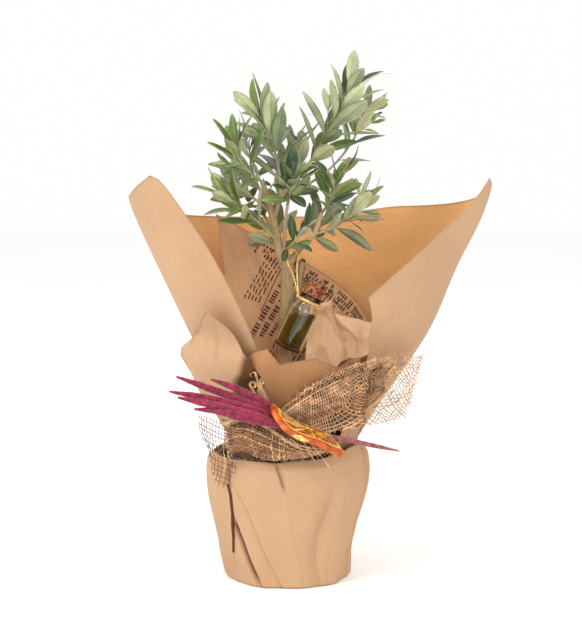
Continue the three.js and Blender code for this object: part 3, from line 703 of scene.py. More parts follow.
def collar_folds(turn, z, v):
    """The collar's ripples, facets and creases, which are sharper behind."""
    behind = smooth(np.abs(turn), 112, 84)
    soft = 0.9 * v * rough(turn / 16, v * 2.2, 11) + 0.4 * v * rough(turn / 6, v * 4, 12)
    broad = facets(turn / 27 + 0.9 * v, 2.3 * v - turn / 90, 13)
    soft = soft + (0.7 + 1.6 * behind) * broad * smooth(v, 0.02, 0.2)
    soft = soft + 0.9 * behind * facets(turn / 11 - 0.7 * v, 5.3 * v + turn / 60, 14) * smooth(v, 0.02, 0.2)
    soft = soft - crease(turn + 30 - 9 * v, 1.9, 22, 0.7)
    for k, line in enumerate(COLLAR_CREASES):
        lean = 16 * (chance(k, 7, 7) - 0.5) * (v - 0.3)
        reach = mix(0.25, 1.1, chance(k, 8, 7))
        way = 1 if chance(k, 9, 7) < 0.6 else -1
        height = (1.8 * (1 - v) + 0.5 + 0.5 * behind) * smooth(v, reach, reach - 0.3) * way
        soft = soft + crease(turn - line - lean, height, 4.5, 1.2)
    return soft - 1.6 * crease(turn - along_line(z, COLLAR_DENT), 1, 2.5, 7) * smooth(z, 160, 190)


def collar_surface(u, v):
    right_z = mix(FOOT, 320, v)
    left, right = COLLAR_SPAN
    right = right + 45 * clamp((320 - right_z) / 88) ** 0.9 - 14 * clamp((232 - right_z) / 42)
    turn = mix(left - 43 * clamp(1 - v) ** 0.55, right, u)
    top = 286 + 9 * smooth(turn, 0, 36)
    top = top + 25 * clamp(turn / COLLAR_SPAN[1]) ** 3 + 36 * clamp(turn / left) ** 3
    z = mix(FOOT, top, v)
    buckle = 9 * hump(turn, 148, 14) * hump(z, 192, 20)
    ripple = 1.8 * v * np.sin(np.radians(turn * 3.1 + 40))
    radius = widening(COLLAR_CONE, z) + collar_bow(turn, z) - buckle
    return on_cone(turn, radius + ripple + collar_folds(turn, z, v), z)


# The shade painted on each point of a sheet, from its place across the sheet, its point and its normal


def deep_down(u, points, normal):
    """Inside a cone of papers the light dies away towards the pot."""
    return 0.75 * smooth(points[..., 2], 196, 136)


def creased_shade(points, normal, least=0.06):
    """The shade painted on a sheet where a crease turns it away from straight outward."""
    out = outward(points)
    askew = np.abs(normal[..., 0] * out[..., 1] - normal[..., 1] * out[..., 0])
    return clamp(0.9 * (askew - least), 0, 0.35)


def low_outside(u, points, normal):
    """Painted shade outside: darker low down, and behind in its creases too."""
    behind = smooth(points[..., 1], -10, 30)
    return 0.3 * smooth(points[..., 2], 138, 104) + creased_shade(points, normal) * behind


# painted shade: deep in the cone of papers and in its creases
def deep_creased(u, points, normal):
    return deep_down(u, points, normal) + creased_shade(points, normal, 0.1)


PRINT_SPAN = 50  # how far the printed sheet's top reaches to each side, in degrees
PRINT_TOP = (290, 204)  # the heights of its left and its right end


def printed_top(turn):
    return mix(*PRINT_TOP, clamp((turn + PRINT_SPAN) / (2 * PRINT_SPAN)))


def printed_surface(u, v):
    turn = mix(-PRINT_SPAN - 18 * (1 - v), PRINT_SPAN, u)
    z = mix(FOOT, printed_top(turn), v)
    wave = 1.4 * v * np.sin(np.radians(turn * 6 + 60))
    soft = 0.6 * v * rough(turn / 12, z / 22, 21) + 2.3 * v * facets(turn / 17 + z / 70, z / 34, 22)
    soft = soft + 0.8 * v * facets(turn / 6, z / 13 + turn / 20, 23)
    return on_cone(turn, widening(PRINT_CONE, z) + wave + soft, z)


# the top edges of the other sheets, each as points of (turn, height). The left lobe's turns go leftwards
CRUMPLED_TOP = [(4, 210), (16, 216), (30, 219), (38, 209), (60, 204), (80, 202), (92, 184), (148, 178)]
LEFT_LOBE_TOP = [(90, 177), (98, 183.5), (128.5, 203), (142.5, 222), (147, 209.5), (151.8, 190), (154, 184)]
# where the left lobe's right edge is folded in
LEFT_LOBE_FOLD = [(136, 132), (140.8, 160.8), (148.1, 174.9), (151.8, 190)]
FRONT_LOBE_TOP = [
    (158, 177), (166, 180), (175, 186), (187, 183), (192.6, 181), (198.5, 193), (204, 191), (210, 186.6)
]


def crumpled_surface(u, v):
    turn = mix(*CRUMPLED_SPAN, u)
    top = outline(turn, CRUMPLED_TOP) + 1.5 * facets(turn / 9, turn * 0, 30)
    z = mix(FOOT, top, v)
    wide = mix(0.55, 1, smooth(turn, 0, 95)) + 0.1 * hump(turn, 80, 14) * v
    big = 6.5 * facets(6.4 * u + 1.6 * v, 4.4 * v - 1.9 * u, 31)
    small = 2.6 * facets(13.3 * u - 2.1 * v, 9.1 * v + 2.7 * u, 33)
    small = small + 0.9 * facets(21 * u + 4 * v, 14 * v - 5 * u, 34)
    return on_cone(turn, widening(CRUMPLED_CONE, z) * wide + v * (big + small), z)


def crumpled_shade(u, points, normal):
    """Painted shade: darker where a facet faces down or to the side, and down in the pot."""
    askew = clamp(0.55 * (0.05 - normal[..., 2]) + 0.25 * (normal[..., 0] + 0.3), 0, 0.4)
    return askew + 0.4 * smooth(points[..., 2], 172, 140)


def left_lobe_turn(u):
    return mix(*LEFT_LOBE_SPAN, u)


def left_lobe_surface(u, v):
    turn = left_lobe_turn(u)
    z = mix(FOOT, outline(-turn, LEFT_LOBE_TOP), v)
    soft = 0.5 * v * rough(turn / 9, z / 16, 41) + 4 * v * facets(turn / 14 + z / 40, z / 26 - turn / 40, 42)
    soft = soft + 1.1 * v * facets(turn / 6 - z / 30, z / 11 + turn / 30, 43)
    soft = soft + crease(turn + 139 + 0.06 * (z - 190), 1.1 * v, 1.0, 9)
    corner = clamp(1 - np.abs(z - 178) / 46) * clamp(1 - np.abs(turn + 90) / 30)
    bow = 6.4 * corner - 7 * hump(z, 203, 14)
    tucked = clamp((-turn - along_line(z, LEFT_LOBE_FOLD)) / 6) * smooth(v, 0.2, 0.5)
    return on_cone(turn, widening(LEFT_LOBE_CONE, z) + bow + soft - 11 * tucked, z)


def left_lobe_shade(u, points, normal):
    """Painted shade: dark where its edge is folded in and low down, and a little in its facets."""
    z = points[..., 2]
    tucked = 1.1 * clamp((-left_lobe_turn(u) - along_line(z, LEFT_LOBE_FOLD)) / 3)
    return tucked + 0.4 * smooth(z, 150, 110) + 0.8 * creased_shade(points, normal, 0.12)


def front_lobe_surface(u, v):
    right, left = FRONT_LOBE_SPAN
    turn = mix(right, mix(left - 25, left, v**1.2), u)
    z = mix(FOOT, outline(turn, FRONT_LOBE_TOP), v)
    soft = 0.4 * v * rough(turn / 8, z / 15, 51) + 0.7 * v * facets(turn / 13 + z / 40, z / 26, 52)
    soft = soft + crease(turn - 187 - 0.12 * (z - 150), 0.9 * v, 1.0, 7)
    return on_cone(turn, widening(FRONT_LOBE_CONE, z) + 2.5 * v * v + soft, z)


def front_lobe_shade(u, points, normal):
    """Painted shade and light: dark low down and at its right edge, and lighter on a few facets."""
    low = 0.6 * smooth(points[..., 2], 186, 140) + 0.2 * smooth(u, 0.5, 0.1)
    return 0.14 + low - 0.12 * facets(mix(*FRONT_LOBE_SPAN, u) / 13, points[..., 2] / 26, 52)


SHEET_THICK = 0.45


def paper_piece(name, node, surface, across, up, front, back, slot="kraft"):
    """A thin closed sheet. front is the side that the normal of (u, v) points to. Each side is a material
    and the shade painted on it."""
    u, v = np.meshgrid(np.linspace(0, 1, across + 1), np.linspace(0, 1, up + 1), indexing="ij")
    points = surface(u, v)
    normal = unit(np.cross(np.gradient(points, axis=0), np.gradient(points, axis=1)))
    half = normal * SHEET_THICK / 2
    heap = Heap()
    painted_shades = front[1](u, points, normal), back[1](u, points, -normal)
    heap.sheet(points + half, points - half, (0, 1, 2), painted_shades)
    heap.piece(name, [front[0], back[0], KRAFT_EDGE], slot, node)


SLANT = math.radians(57)  # how far the rows of print are turned on their sheet


def slanted(x, y):
    """Across and up on the sheet, from along and across the rows of print."""
    return x * math.cos(SLANT) - y * math.sin(SLANT), x * math.sin(SLANT) + y * math.cos(SLANT)


def print_bar(heap, turn, z, long, tall):
    """A bar along the slant, round a turn and a height, on both sides of the sheet. None if it runs off."""
    along = mix(-long / 2, long / 2, np.linspace(0, 1, 5))
    dx, dz = slanted(along, np.array([[-tall / 2], [tall / 2]]))
    z = z + dz
    turn = turn + np.degrees(dx / widening(PRINT_CONE, z))
    v = (z - FOOT) / (printed_top(turn) - FOOT)
    u = (turn + PRINT_SPAN + 18 * (1 - v)) / (2 * PRINT_SPAN + 18 * (1 - v))
    if v.max() > 0.985 or u.min() < 0.015 or u.max() > 0.985:
        return
    lift = 0.36 * normals_at(printed_surface, u, v)
    faces = grid_faces(2, 5)
    heap.add(printed_surface(u, v) + lift, faces[:, ::-1])
    heap.add(printed_surface(u, v) - lift, faces)


def print_row(heap, start, y, bars, tall):
    """A row of bars on the sheet laid flat, each (length, share of the height, gap after it)."""
    for long, share, gap in bars:
        across, up = slanted(start + long / 2, y)
        z = 214 + up
        print_bar(heap, math.degrees(across / widening(PRINT_CONE, z)), z, long, tall * share)
        start += long + gap


def words(count, seed):
    return [(2.2 + 5.5 * chance(k, seed, 9), 1, 1.5) for k in range(count)]


def strokes(seed):
    """Short thick bars in groups of five."""
    bars = []
    for k in range(24):
        share = 1 if chance(k, seed, 10) < 0.7 else 0.78
        bars.append((1.2 + 1.2 * chance(k, seed, 9), share, 3.4 if k % 5 == 4 else 0.85))
    return bars


def print_marks():
    """Plain bars in rows, in place of any lettering."""
    heap = Heap()
    for row in range(5):
        print_row(heap, -26 + row, 51 - 3.5 * row, words(9, row), 1.15)
    print_row(heap, -28, 32.6, [(44, 1, 0)], 0.8)
    for row, tall in enumerate((4.8, 4.8, 3.4)):
        print_row(heap, -48 + 5 * row, 26.5 - 8 * row, strokes(40 + row), tall)
    for row in range(8):
        print_row(heap, -52 + 2 * (row % 3), 3 - 3.6 * row, words(12, 60 + row), 1.2)
    # the tight rows of dark blocks along the slanted edge
    for column in range(44):
        turn = -30 + 78 * column / 44
        edge = 290 - 0.86 * (turn + PRINT_SPAN)
        for row in range(3):
            if chance(column, row, 77) > 0.22:
                print_bar(heap, turn, edge - 5.5 - 4.6 * row, 2 + 1.6 * chance(column, row, 78), 1.6)
    heap.piece("printed_bars", [INK], "printed")


def papers():
    wrap_piece()
    outside = (KRAFT_OUT, low_outside)
    paper_piece("collar_paper", "collar", collar_surface, 330, 90, (KRAFT_IN, deep_down), outside)
    inside = (PRINT_PAPER, deep_creased)
    paper_piece("printed_sheet", "printed_paper", printed_surface, 150, 90, inside, outside, "printed")
    print_marks()
    front, back = (KRAFT_CRUMPLED_LIT, crumpled_shade), (KRAFT_OUT, crumpled_shade)
    paper_piece("crumpled_sheet", "crumpled_paper", crumpled_surface, 240, 120, front, back)
    front, back = (KRAFT_OUT, left_lobe_shade), (KRAFT_IN, left_lobe_shade)
    paper_piece("left_lobe_paper", "left_lobe", left_lobe_surface, 110, 80, front, back)
    both = (KRAFT_SHADE, front_lobe_shade)
    paper_piece("front_lobe_paper", "front_lobe", front_lobe_surface, 100, 80, both, both)


# The burlap


def band_surface(u, v):
    z = mix(FOOT, 127 + 4 * np.sin(9 * u), v)
    return on_cone(mix(*BAND_SPAN, u), widening(BAND_CONE, z) + 0.7 * np.sin(40 * u), z)


def band_lining(u, v):
    return band_surface(u, v) * [0.985, 0.985, 1]


FAN_AXIS = 8  # where the fan's own upright axis stands, along X


def right_fan_surface(u, v):
    low = 116 + 17.5 * np.sin(np.pi / 2 * u)
    high = 146 + 37 * u + 19 * np.sin(np.pi * clamp(1.05 * u))
    z = mix(low, high, v)
    upright = u * u * mix(19, 8, v)
    swell = np.maximum(np.sin(np.pi * clamp(u)), 0) ** 0.7
    wave = 4.5 * swell * np.sin(2 * np.pi * (1.9 * v + 0.5 * u))
    fine = 0.7 * swell * np.sin(2 * np.pi * (4.3 * v + 1.3 * u))
    return on_cone(mix(*FAN_SPAN, u), widening(FAN_CONE, z) + upright + wave + fine, z)


def right_under_surface(u, v):
    """The layer of burlap folded in behind the fan."""
    at = right_fan_surface(0.04 + 0.6 * u, 0.06 + 0.84 * v)
    return moved_out(at, -1.5 - 0.6 * np.sin(9 * v + 4 * u), FAN_AXIS)


def right_front_surface(u, v):
    """A fold of the fan that lies over it from its foot to its middle."""
    at = right_fan_surface(0.02 + 0.6 * u - 0.12 * u * v, 0.03 + 0.8 * v)
    return moved_out(at, 1.5 + 0.9 * np.sin(8 * u - 5 * v) + 1.6 * u, FAN_AXIS)


def right_valley_surface(u, v):
    """A narrow tuck over the fan where its foot ends and its wing begins."""
    at = right_fan_surface(0.5 + 0.12 * u + 0.1 * v, 0.04 + 0.8 * v)
    return moved_out(at, 1.2 + 2.2 * u * (1 - v), FAN_AXIS)


def left_fan_surface(u, v):
    low = 105 + 5 * hump(u, 0, 0.2) - 27 * smooth(u, 0.76, 1)
    high = 113 + 25 * smooth(u, 0.16, 0.66) - 6 * hump(u, 0.8, 0.1)
    puff = 11 * np.sin(np.pi * clamp(0.12 + 0.8 * v)) * hump(u, 0.5, 0.34)
    flare = (5 + 5 * smooth(u, 0.55, 1)) * v + 1.5 * smooth(u, 0.65, 0.9)
    out = 63.2 + puff + flare + 2.2 * v * np.sin(12 * u)
    return at_turn(mix(150, 238, u), out, mix(low, high, v))


def skirt_surface(u, v):
    """The dense part of the left burlap, puffed out over the rim of the pot's paper."""
    wrinkle = 0.9 * np.sin(2 * np.pi * (2.3 * v + 2.1 * u)) + 0.7 * facets(u * 7 + v, v * 3, 61)
    lifted = 0.2 * hump(u, 0.84, 0.13)
    return moved_out(left_fan_surface(0.82 * u, mix(lifted, 1, v)), wrinkle)


def skirt_lining(u, v):
    at = left_fan_surface(0.01 + 0.8 * u, mix(0.02 + 0.24 * hump(u, 0.84, 0.13), 0.96, v))
    return moved_out(at, -1.7 - 0.4 * np.sin(11 * u + 5 * v))


def hem_surface(u, v):
    """The left burlap's upper edge, rolled over."""
    middle = left_fan_surface(mix(0.1, 0.84, u), np.full_like(u, 0.97))
    angle = 2 * np.pi * v
    size = 1.7 + 0.4 * np.sin(7 * u)
    up = 1.2 + size * np.sin(angle)
    return moved_out(middle, 2 + size * np.cos(angle)) + up[..., None] * [0, 0, 1]


NET_END = [(214, 100), (219, 90), (224, 80), (231, 79.5), (238, 88), (246, 102), (250, 112)]


def net(heap):
    """The open end of the left burlap: a square net that hangs over the pot's paper."""
    s = np.linspace(0, 1, 60)
    for k in range(13):
        for slanting in (0, 1):
            strand = k + 0.5 * (chance(k, slanting, 91) - 0.5)
            if slanting:
                turn, z = 212 + 3.3 * strand + 8 * s, mix(134, 70, s)
            else:
                turn, z = mix(211, 252, s), 129 - 4.1 * strand + 7 * s
            end = outline(turn, NET_END) - 1.5 * chance(k, 92, slanting)
            inside = (z > end) & (turn > 213) & (turn < 251)
            if inside.sum() < 6:
                continue
            turn, z = turn[inside], z[inside]
            out = 68.6 + 6.5 * smooth(z, 98, 128) + 0.7 * np.sin(turn / 5 + z / 9)
            path = at_turn(turn, out, z, -1.6 * smooth(z, 96, 80))
            path = moved_out(path, 0.3 * np.cos(np.arange(len(path)) * 0.9 + k * np.pi))
            sweep(heap, path, 0.28, 4, outward(path), 2 if chance(k, 93, slanting) < 0.7 else 1)


def thread(heap, surface, u, v, over, along, radius, key, seed, draw, kind, pale):
    """One thread of a weave, that rises and sinks by over and is of uneven thickness along its way."""
    normal = normals_at(surface, u, v)
    path = surface(u, v) + normal * (over * radius * 0.8)[:, None]
    uneven = 1 + 0.25 * rough(along, np.full_like(u, key), seed + 1)
    thick = radius * mix(0.7, 1.3, chance(key, seed, draw)) * uneven
    sweep(heap, path, thick, 4, normal, kind + 1 if chance(key, seed, draw + 1) < pale else kind)


def weave(heap, surface, warps, wefts, radius, seed, fray=0.02, kind=0, pale=0.28):
    """Crossing threads that pass over and under each other, a little uneven, with frayed ends."""
    for way, count, others in ((0, warps, wefts), (1, wefts, warps)):
        for i in range(count):
            key = 2 * i + way
            at = (i + 0.5 + 0.5 * (chance(key, seed, 1) - 0.5)) / count
            run = np.linspace(-fray * chance(key, seed, 2), 1 + fray * chance(key, seed, 3), 3 * others + 1)
            fixed = at + 0.45 / count * rough(run * 6, np.full_like(run, key * 3.1), seed)
            u, v = (fixed, run) if way == 0 else (run, fixed)
            over = np.cos(np.pi * (run * others + i + (0 if way else 1)))
            thread(heap, surface, u, v, over, run * 13, radius, key, seed, 4, kind, pale)


def slanted_weave(heap, surface, warps, wefts, turning, slant, radius, seed, fray=0.03, kind=0, pale=0.3):
    """Like weave, but over turning its threads come to slant both ways, as in burlap pulled askew."""
    across = np.linspace(-fray, 1 + fray, 141)
    up = np.linspace(-fray, 1 + fray, 7 * wefts)
    share = smooth(across, *turning)
    step = across[1] - across[0]
    risen = slant * np.cumsum(share) * step
    steep_at = np.cumsum(mix(warps, slant * wefts, share)) * step

    def steep_count(u, v):
        return np.interp(u, across, steep_at) + wefts * smooth(u, *turning) * (v - 0.3)

    def level_count(u, v):
        return wefts * (v - np.interp(u, across, risen))

    def shifted(k, draw):
        return k + 0.5 + 0.2 * (chance(k + 99, seed, draw) - 0.5)

    def lay(key, u, v, phase):
        v = v + 0.1 / wefts * rough(u * 4 + v * 3, u * 0 + key * 0.6, seed)
        ends = [fray * chance(key, seed, n) for n in (1, 2, 3, 4)]
        inside = (u > -ends[0]) & (u < 1 + ends[1]) & (v > -ends[2]) & (v < 1 + ends[3])
        for run in np.split(np.arange(len(u)), np.flatnonzero(np.diff(inside.astype(int))) + 1):
            if len(run) >= 5 and inside[run[0]]:
                over = np.cos(np.pi * phase[run])
                thread(heap, surface, u[run], v[run], over, run / 7, radius, key, seed, 5, kind, pale)

    table = np.array([steep_count(across, np.full_like(across, v)) for v in up])
    for k in range(int(np.floor(table.min())), int(np.ceil(table.max()))):
        u = np.array([np.interp(shifted(k, 7), row, across, left=-9, right=9) for row in table])
        lay(2 * k + 301, u, up, level_count(u, up) + k)
    for k in range(int(np.floor(-wefts * risen[-1])), wefts):
        v = shifted(k, 8) / wefts + risen
        lay(2 * k + 300, across, v, steep_count(across, v) + k + 1)


def loose_fibres(heap, surface, count, seed, edge_v, reach):
    """Stray fibres that stick out of an edge."""
    t = np.linspace(0, 1, 6)
    v = edge_v + 0 * t
    for k in range(count):
        u = chance(k, seed, 1) + 0.02 * (chance(k, seed, 2) - 0.5) * t
        away = (chance(k, seed, 3) - 0.5) * 2
        drop = np.array([away * 3, -0.6, reach * (0.4 + chance(k, seed, 4))])
        bend = (t**2 * (chance(k, seed, 5) - 0.3) * 3)[:, None]
        path = surface(u, v) + t[:, None] * drop + normals_at(surface, u, v) * bend
        sweep(heap, path, np.linspace(0.16, 0.06, 6), 3, kind=1)


# long loose fibres that hang from under the slice, and a bit of twig caught in the fan's foot:
# their line, radius and material
STRANDS = [
    ([[6, -80, 127], [12, -89, 122], [19.7, -88, 108.4]], 0.4, 1),
    ([[14, -82, 124], [22, -90, 116], [30.5, -88, 104.2]], 0.45, 1),
    ([[18, -84, 122], [26, -88, 117], [33, -87, 110.5]], 0.3, 0),
    ([[2, -80, 124], [8, -86, 119], [13, -86, 110]], 0.25, 1),
    ([[59, -58, 136], [56.5, -60, 130], [53.4, -61.5, 124.2]], 0.5, 2),
]


def burlap():
    fan = Heap()
    slanted_weave(fan, right_fan_surface, 38, 17, (0.3, 0.8), 1.6, 0.38, 3, pale=0.4)
    weave(fan, right_under_surface, 32, 24, 0.46, 4, kind=2, pale=0.15)
    slanted_weave(fan, right_front_surface, 34, 15, (0.5, 1.0), 0.6, 0.42, 13, fray=0.02, pale=0.25)
    weave(fan, right_valley_surface, 9, 22, 0.34, 17, fray=0.05, kind=2, pale=0.65)
    loose_fibres(fan, right_fan_surface, 50, 5, 1.0, 3)
    fan.piece("burlap_fan", [JUTE, JUTE_PALE, JUTE_DARK, JUTE_MID], "burlap", "burlap_right")
    skirt = Heap()
    weave(skirt, skirt_surface, 44, 15, 0.46, 6, fray=0.03, pale=0.14)
    weave(skirt, skirt_lining, 40, 14, 0.5, 9, fray=0.01, kind=2, pale=0.3)
    weave(skirt, hem_surface, 46, 5, 0.42, 10, fray=0, pale=0.6)
    net(skirt)
    loose_fibres(skirt, left_fan_surface, 46, 7, 0.0, -4)
    for points, size, kind in STRANDS:
        sweep(skirt, through(points, 24), size * np.linspace(1, 0.7, 24), 5, kind=kind)
    skirt.piece("burlap_skirt", [JUTE_MID, JUTE_PALE, JUTE_DARK, JUTE_MID], "burlap", "burlap_left")
    band = Heap()
    weave(band, band_surface, 74, 13, 0.52, 8, fray=0.05, pale=0.2)
    weave(band, band_lining, 70, 11, 0.5, 18, kind=2, pale=0.2)
    band.piece("burlap_back", [JUTE, JUTE_PALE, JUTE_DARK, JUTE_MID], "burlap", "burlap_band")


# The dyed spikes, the straw and the dried slice

# where each spike leaves the bunch, its tip, and how far its middle is lifted. The last is the faded one
SPIKES = [
    ([-14, -76, 144], [-84, -85, 172], 0.5),
    ([-14, -75.2, 148], [-58, -84.8, 170], 2),
    ([-14, -81, 142], [-89, -90, 161.5], 2),
    ([-14, -85, 139], [-82, -97, 158], 1),
    ([-14, -79, 139], [-70, -95, 149], 1.5),
    ([-14, -83, 138], [-60, -99, 148.5], 0.5),
    ([-10, -81, 135], [-44, -94, 143], 0),
    ([16, -71.4, 127.5], [84, -82, 115], 0),
]
BUNCH = [4, -72.2, 128]  # where all the spikes start
SPIKE_RADIUS = 3.2
SPIKE_WIDTHS = [0.4, 0.5, 0.86, 0.94, 0.92, 0.78, 0.22]  # shares of the radius, in even steps along a spike
GRAINS = 1500  # on each spike


def grains(heap, path, radii, k, kind):
    """Tiny pointed grains all over the outer four fifths of a spike."""
    tangent = unit(np.gradient(path, axis=0))
    for n in range(GRAINS):
        at = 0.2 + 0.8 * chance(n, k, 21)
        i = min(int(at * 89), 88)
        a = 2 * math.pi * chance(n, k, 22)
        side = unit(np.cross(tangent[i], [0.2, 0.3, 1.0]))
        out = side * math.cos(a) + np.cross(side, tangent[i]) * math.sin(a)
        base = path[i] + out * radii[i] * 0.92
        end = base + unit(out + tangent[i] * (0.5 + chance(n, k, 24))) * (0.5 + 0.7 * chance(n, k, 23))
        width = np.cross(out, tangent[i]) * 0.17
        heap.add([base - width, base + width, end], [[0, 1, 2]], kind)


def spikes():
    heap = Heap()
    share = np.linspace(0, 1, 90)
    angle = np.arange(18) / 18
    for k, (root, tip, lift) in enumerate(SPIKES):
        faded = k == len(SPIKES) - 1
        size = 0.6 if faded else mix(0.88, 1.08, chance(k, 4, 4))
        middle = (np.array(root) + np.array(tip)) / 2 + [0, 0, lift]
        path = through([BUNCH, root, middle, tip], 90)
        radii = SPIKE_RADIUS * size * np.interp(share, np.linspace(0, 1, 7), SPIKE_WIDTHS)
        bumps = 1 + 0.09 * rough(share[:, None] * 60, angle[None] * 9 + 9 * k, k)
        sweep(heap, path, radii[:, None] * bumps, 18, kind=int(faded))
        grains(heap, path, radii, k, int(faded))
    heap.piece("dyed_spikes", [SPIKE, SPIKE_FADED], "spike", "spikes")


STRAW_ROOT = np.array([-9.6, -43.7, 104])  # where all the stalks start
STRAW_TIPS = [[-25, -76, 172], [-22, -73, 166], [-19, -71, 158], [-28.6, -75, 164], [-15, -69, 151]]


def straw():
    """Curls of dried straw, each a flat stalk that hooks over at its tip."""
    heap = Heap()
    share = np.linspace(0, 1, 60)
    angle = np.arange(10) / 10
    hook = 4.9 * clamp((share - 0.8) / 0.2)
    for k, tip in enumerate(STRAW_TIPS):
        middle = STRAW_ROOT + (np.array(tip) - STRAW_ROOT) * 0.55 + [2 - (k % 3), -2, 1]
        line = through([STRAW_ROOT, middle, tip], 60)
        risen = np.minimum(share / 0.8, 1)
        path = np.stack([np.interp(risen, share, line[:, axis]) for axis in range(3)], -1)
        curl = np.stack([np.sin(share * 17 + k), np.cos(share * 13), np.sin(share * 9)], -1)
        side = 1 if k % 2 else -1
        hooked = np.stack([side * 1.9 * (1 - np.cos(hook)), 0 * hook, 1.9 * np.sin(hook)], -1)
        radii = np.interp(share, [0, 0.4, 0.7, 0.93, 1], [0.9, 1.1, 1.5, 1.1, 0.4])
        rippled = 1 + 0.2 * rough(share[:, None] * 22, angle[None] * 8, k)
        sweep(heap, path + (curl * share[:, None] * 0.7 + hooked), radii[:, None] * rippled, 10, flat=0.6)
    heap.piece("straw_curls", [STRAW], "filler", "filler")


# the slice lies nearly flat: tipped towards the front about X first, then dropped to the right about Y
SLICE_TURN = Matrix.Rotation(math.radians(34), 3, "Y") @ Matrix.Rotation(math.radians(8), 3, "X")
SLICE_CENTRE = np.array([14.5, -88.9, 131.5])
SLICE_HALF_LENGTH = 33
SLICE_HALF_WIDTH = 16
SLICE_THICK = 4.6
# from the middle to the rim: the shares of the radius, and the material between each and the next
SLICE_SHARES = np.array([0, 0.05, 0.1, 0.2, 0.32, 0.44, 0.56, 0.68, 0.76, 0.81, 0.86, 0.9, 0.94, 0.98, 1])
SLICE_KINDS = np.array([2, 2] + [1] * 6 + [2, 2, 0, 0, 0, 0])


def off_spokes(a):
    """0 on each of the slice's ten spokes and 1 halfway between them."""
    return np.abs(np.sin(5 * a + 0.4))


def slice_ring(a, share, side):
    """The points at one share of the radius on one face, for a slice of radius 1 and thickness 1."""
    r = share * (0.985 + 0.015 * np.sin(7 * a + 1) + 0.012 * rough(a * 9, a * 0 + share * 3, 5))
    flesh = smooth(share, 0.08, 0.2) * smooth(share, 0.8, 0.7)
    sunk = flesh * smooth(off_spokes(a), 0.12, 0.4) * (0.17 + 0.05 * rough(a * 14, a * 0 + share * 17, 6))
    rounding = 0.1 * smooth(share, 0.9, 1.0)
    y = side * (0.5 - sunk - rounding + 0.03 * rough(a * 7, a * 0 + share * 6, 7))
    return r * np.cos(a), y, r * np.sin(a)


def rim_ring(a, t):
    r = 1.01 + 0.015 * np.sin(7 * a + 1) + 0.012 * rough(a * 9, a * 0 + t * 5, 8)
    return r * np.cos(a), t + 0.03 * rough(a * 7, a * 0, 7), r * np.sin(a)


def slice_piece():
    """A dried round slice: bumpy peel, pale pith, flesh sunk between its spokes, and all of it bent."""
    sides = 198
    a = around(sides)
    rings = [slice_ring(a, share, 1) for share in SLICE_SHARES]
    rings += [rim_ring(a, t) for t in np.linspace(0.32, -0.32, 9)]
    rings += [slice_ring(a, share, -1) for share in SLICE_SHARES[::-1]]
    x, y, z = np.stack(rings, 1)
    bend = 2.6 * (np.sin(3.4 * x) - z * z)
    points = np.stack([SLICE_HALF_LENGTH * x, SLICE_HALF_WIDTH * z, SLICE_THICK * y + bend], -1)
    count = len(rings)
    row, column = np.divmod(np.arange((count - 1) * sides), sides)
    band = np.minimum(np.minimum(row, count - 2 - row), len(SLICE_SHARES) - 2)
    kind = SLICE_KINDS[band]
    kind = np.where((kind == 1) & (off_spokes(a[column]) < 0.16), 2, kind)
    # a patch torn out of the peel on the rim
    off = ((np.cos(a[column]) + 0.1) / 0.15) ** 2 + ((row - 19) / 5.5) ** 2
    torn = (off + 0.7 * rough(column / 2.3, row / 1.7, 9) < 1) & (np.sin(a[column]) < 0) & (kind == 0)
    heap = Heap()
    heap.add(
        points @ np.array(SLICE_TURN).T + SLICE_CENTRE,
        grid_faces(count, sides, True)[:, ::-1],
        np.where(torn, 2, kind),
    )
    heap.piece("dried_slice", [PEEL, FLESH, PITH], "orange", "orange_slice")


# The vial

VIAL_LEAN = math.radians(25.6)
VIAL_TILT = Matrix.Rotation(VIAL_LEAN, 3, "Y")
VIAL_FOOT = np.array([-1.4, -18.4, 186])
OIL_LEVEL = 213
NECK = 41  # the middle of the neck, above the vial's foot
TIE_RADIUS = 10.05  # from the middle of the neck to the middle of the raffia round it
VIAL_OUTSIDE = [(0.01, 0.4), (9.6, 0), (11.2, 1.6), (11.2, 33.5), (10.6, 35.5), (9, 38), (8.8, 44), (9, 46)]
VIAL_INSIDE = [(7.9, 46), (7.8, 38), (9.4, 35), (10.1, 33), (10.1, 2.6), (8.6, 1.5), (0.01, 1.9)]
OIL_SIDE = [(0.01, 1.45), (8.5, 1.45), (9.8, 2.9), (9.8, 33.4)]
CORK_RADIUS = 7.55
# the cork's side: each point's distance past its radius, and its height
CORK_SIDE = [(-0.5, 41.5), (-0.1, 42.3), (0, 46), (0.5, 51), (0.85, 56.4), (0.3, 57.8)]


def in_vial(points):
    return np.asarray(points, float) @ np.array(VIAL_TILT).T + VIAL_FOOT


def rounded(profile, cuts=5):
    """The profile with each inner corner rounded off."""
    p = np.array(profile, float)
    out = [p[0]]
    for a, b, c in zip(p, p[1:], p[2:]):
        start = b + (a - b) * min(0.45, 1.2 / max(np.linalg.norm(b - a), 1e-6))
        end = b + (c - b) * min(0.45, 1.2 / max(np.linalg.norm(c - b), 1e-6))
        for t in np.linspace(0, 1, cuts):
            out.append((1 - t) ** 2 * start + 2 * t * (1 - t) * b + t * t * end)
    return [*out, p[-1]]


def lathed(profile, sides, bumps=None):
    """The rings of points of a profile of (radius, height) turned round the vial's own axis."""
    a = around(sides)
    r, z = np.array(profile).T[..., None]
    if bumps is not None:
        r = r * (1 + bumps(a[None], z))
    return np.stack(np.broadcast_arrays(r * np.cos(a), r * np.sin(a), z), -1)


def add_lathed(heap, points):
    heap.add(in_vial(points), grid_faces(*points.shape[:2], True))


def cork_bumps(a, z):
    return 0.02 * rough(a * 6, z * 1.1, 5) + 0.012 * rough(a * 15, z * 2.6, 6)


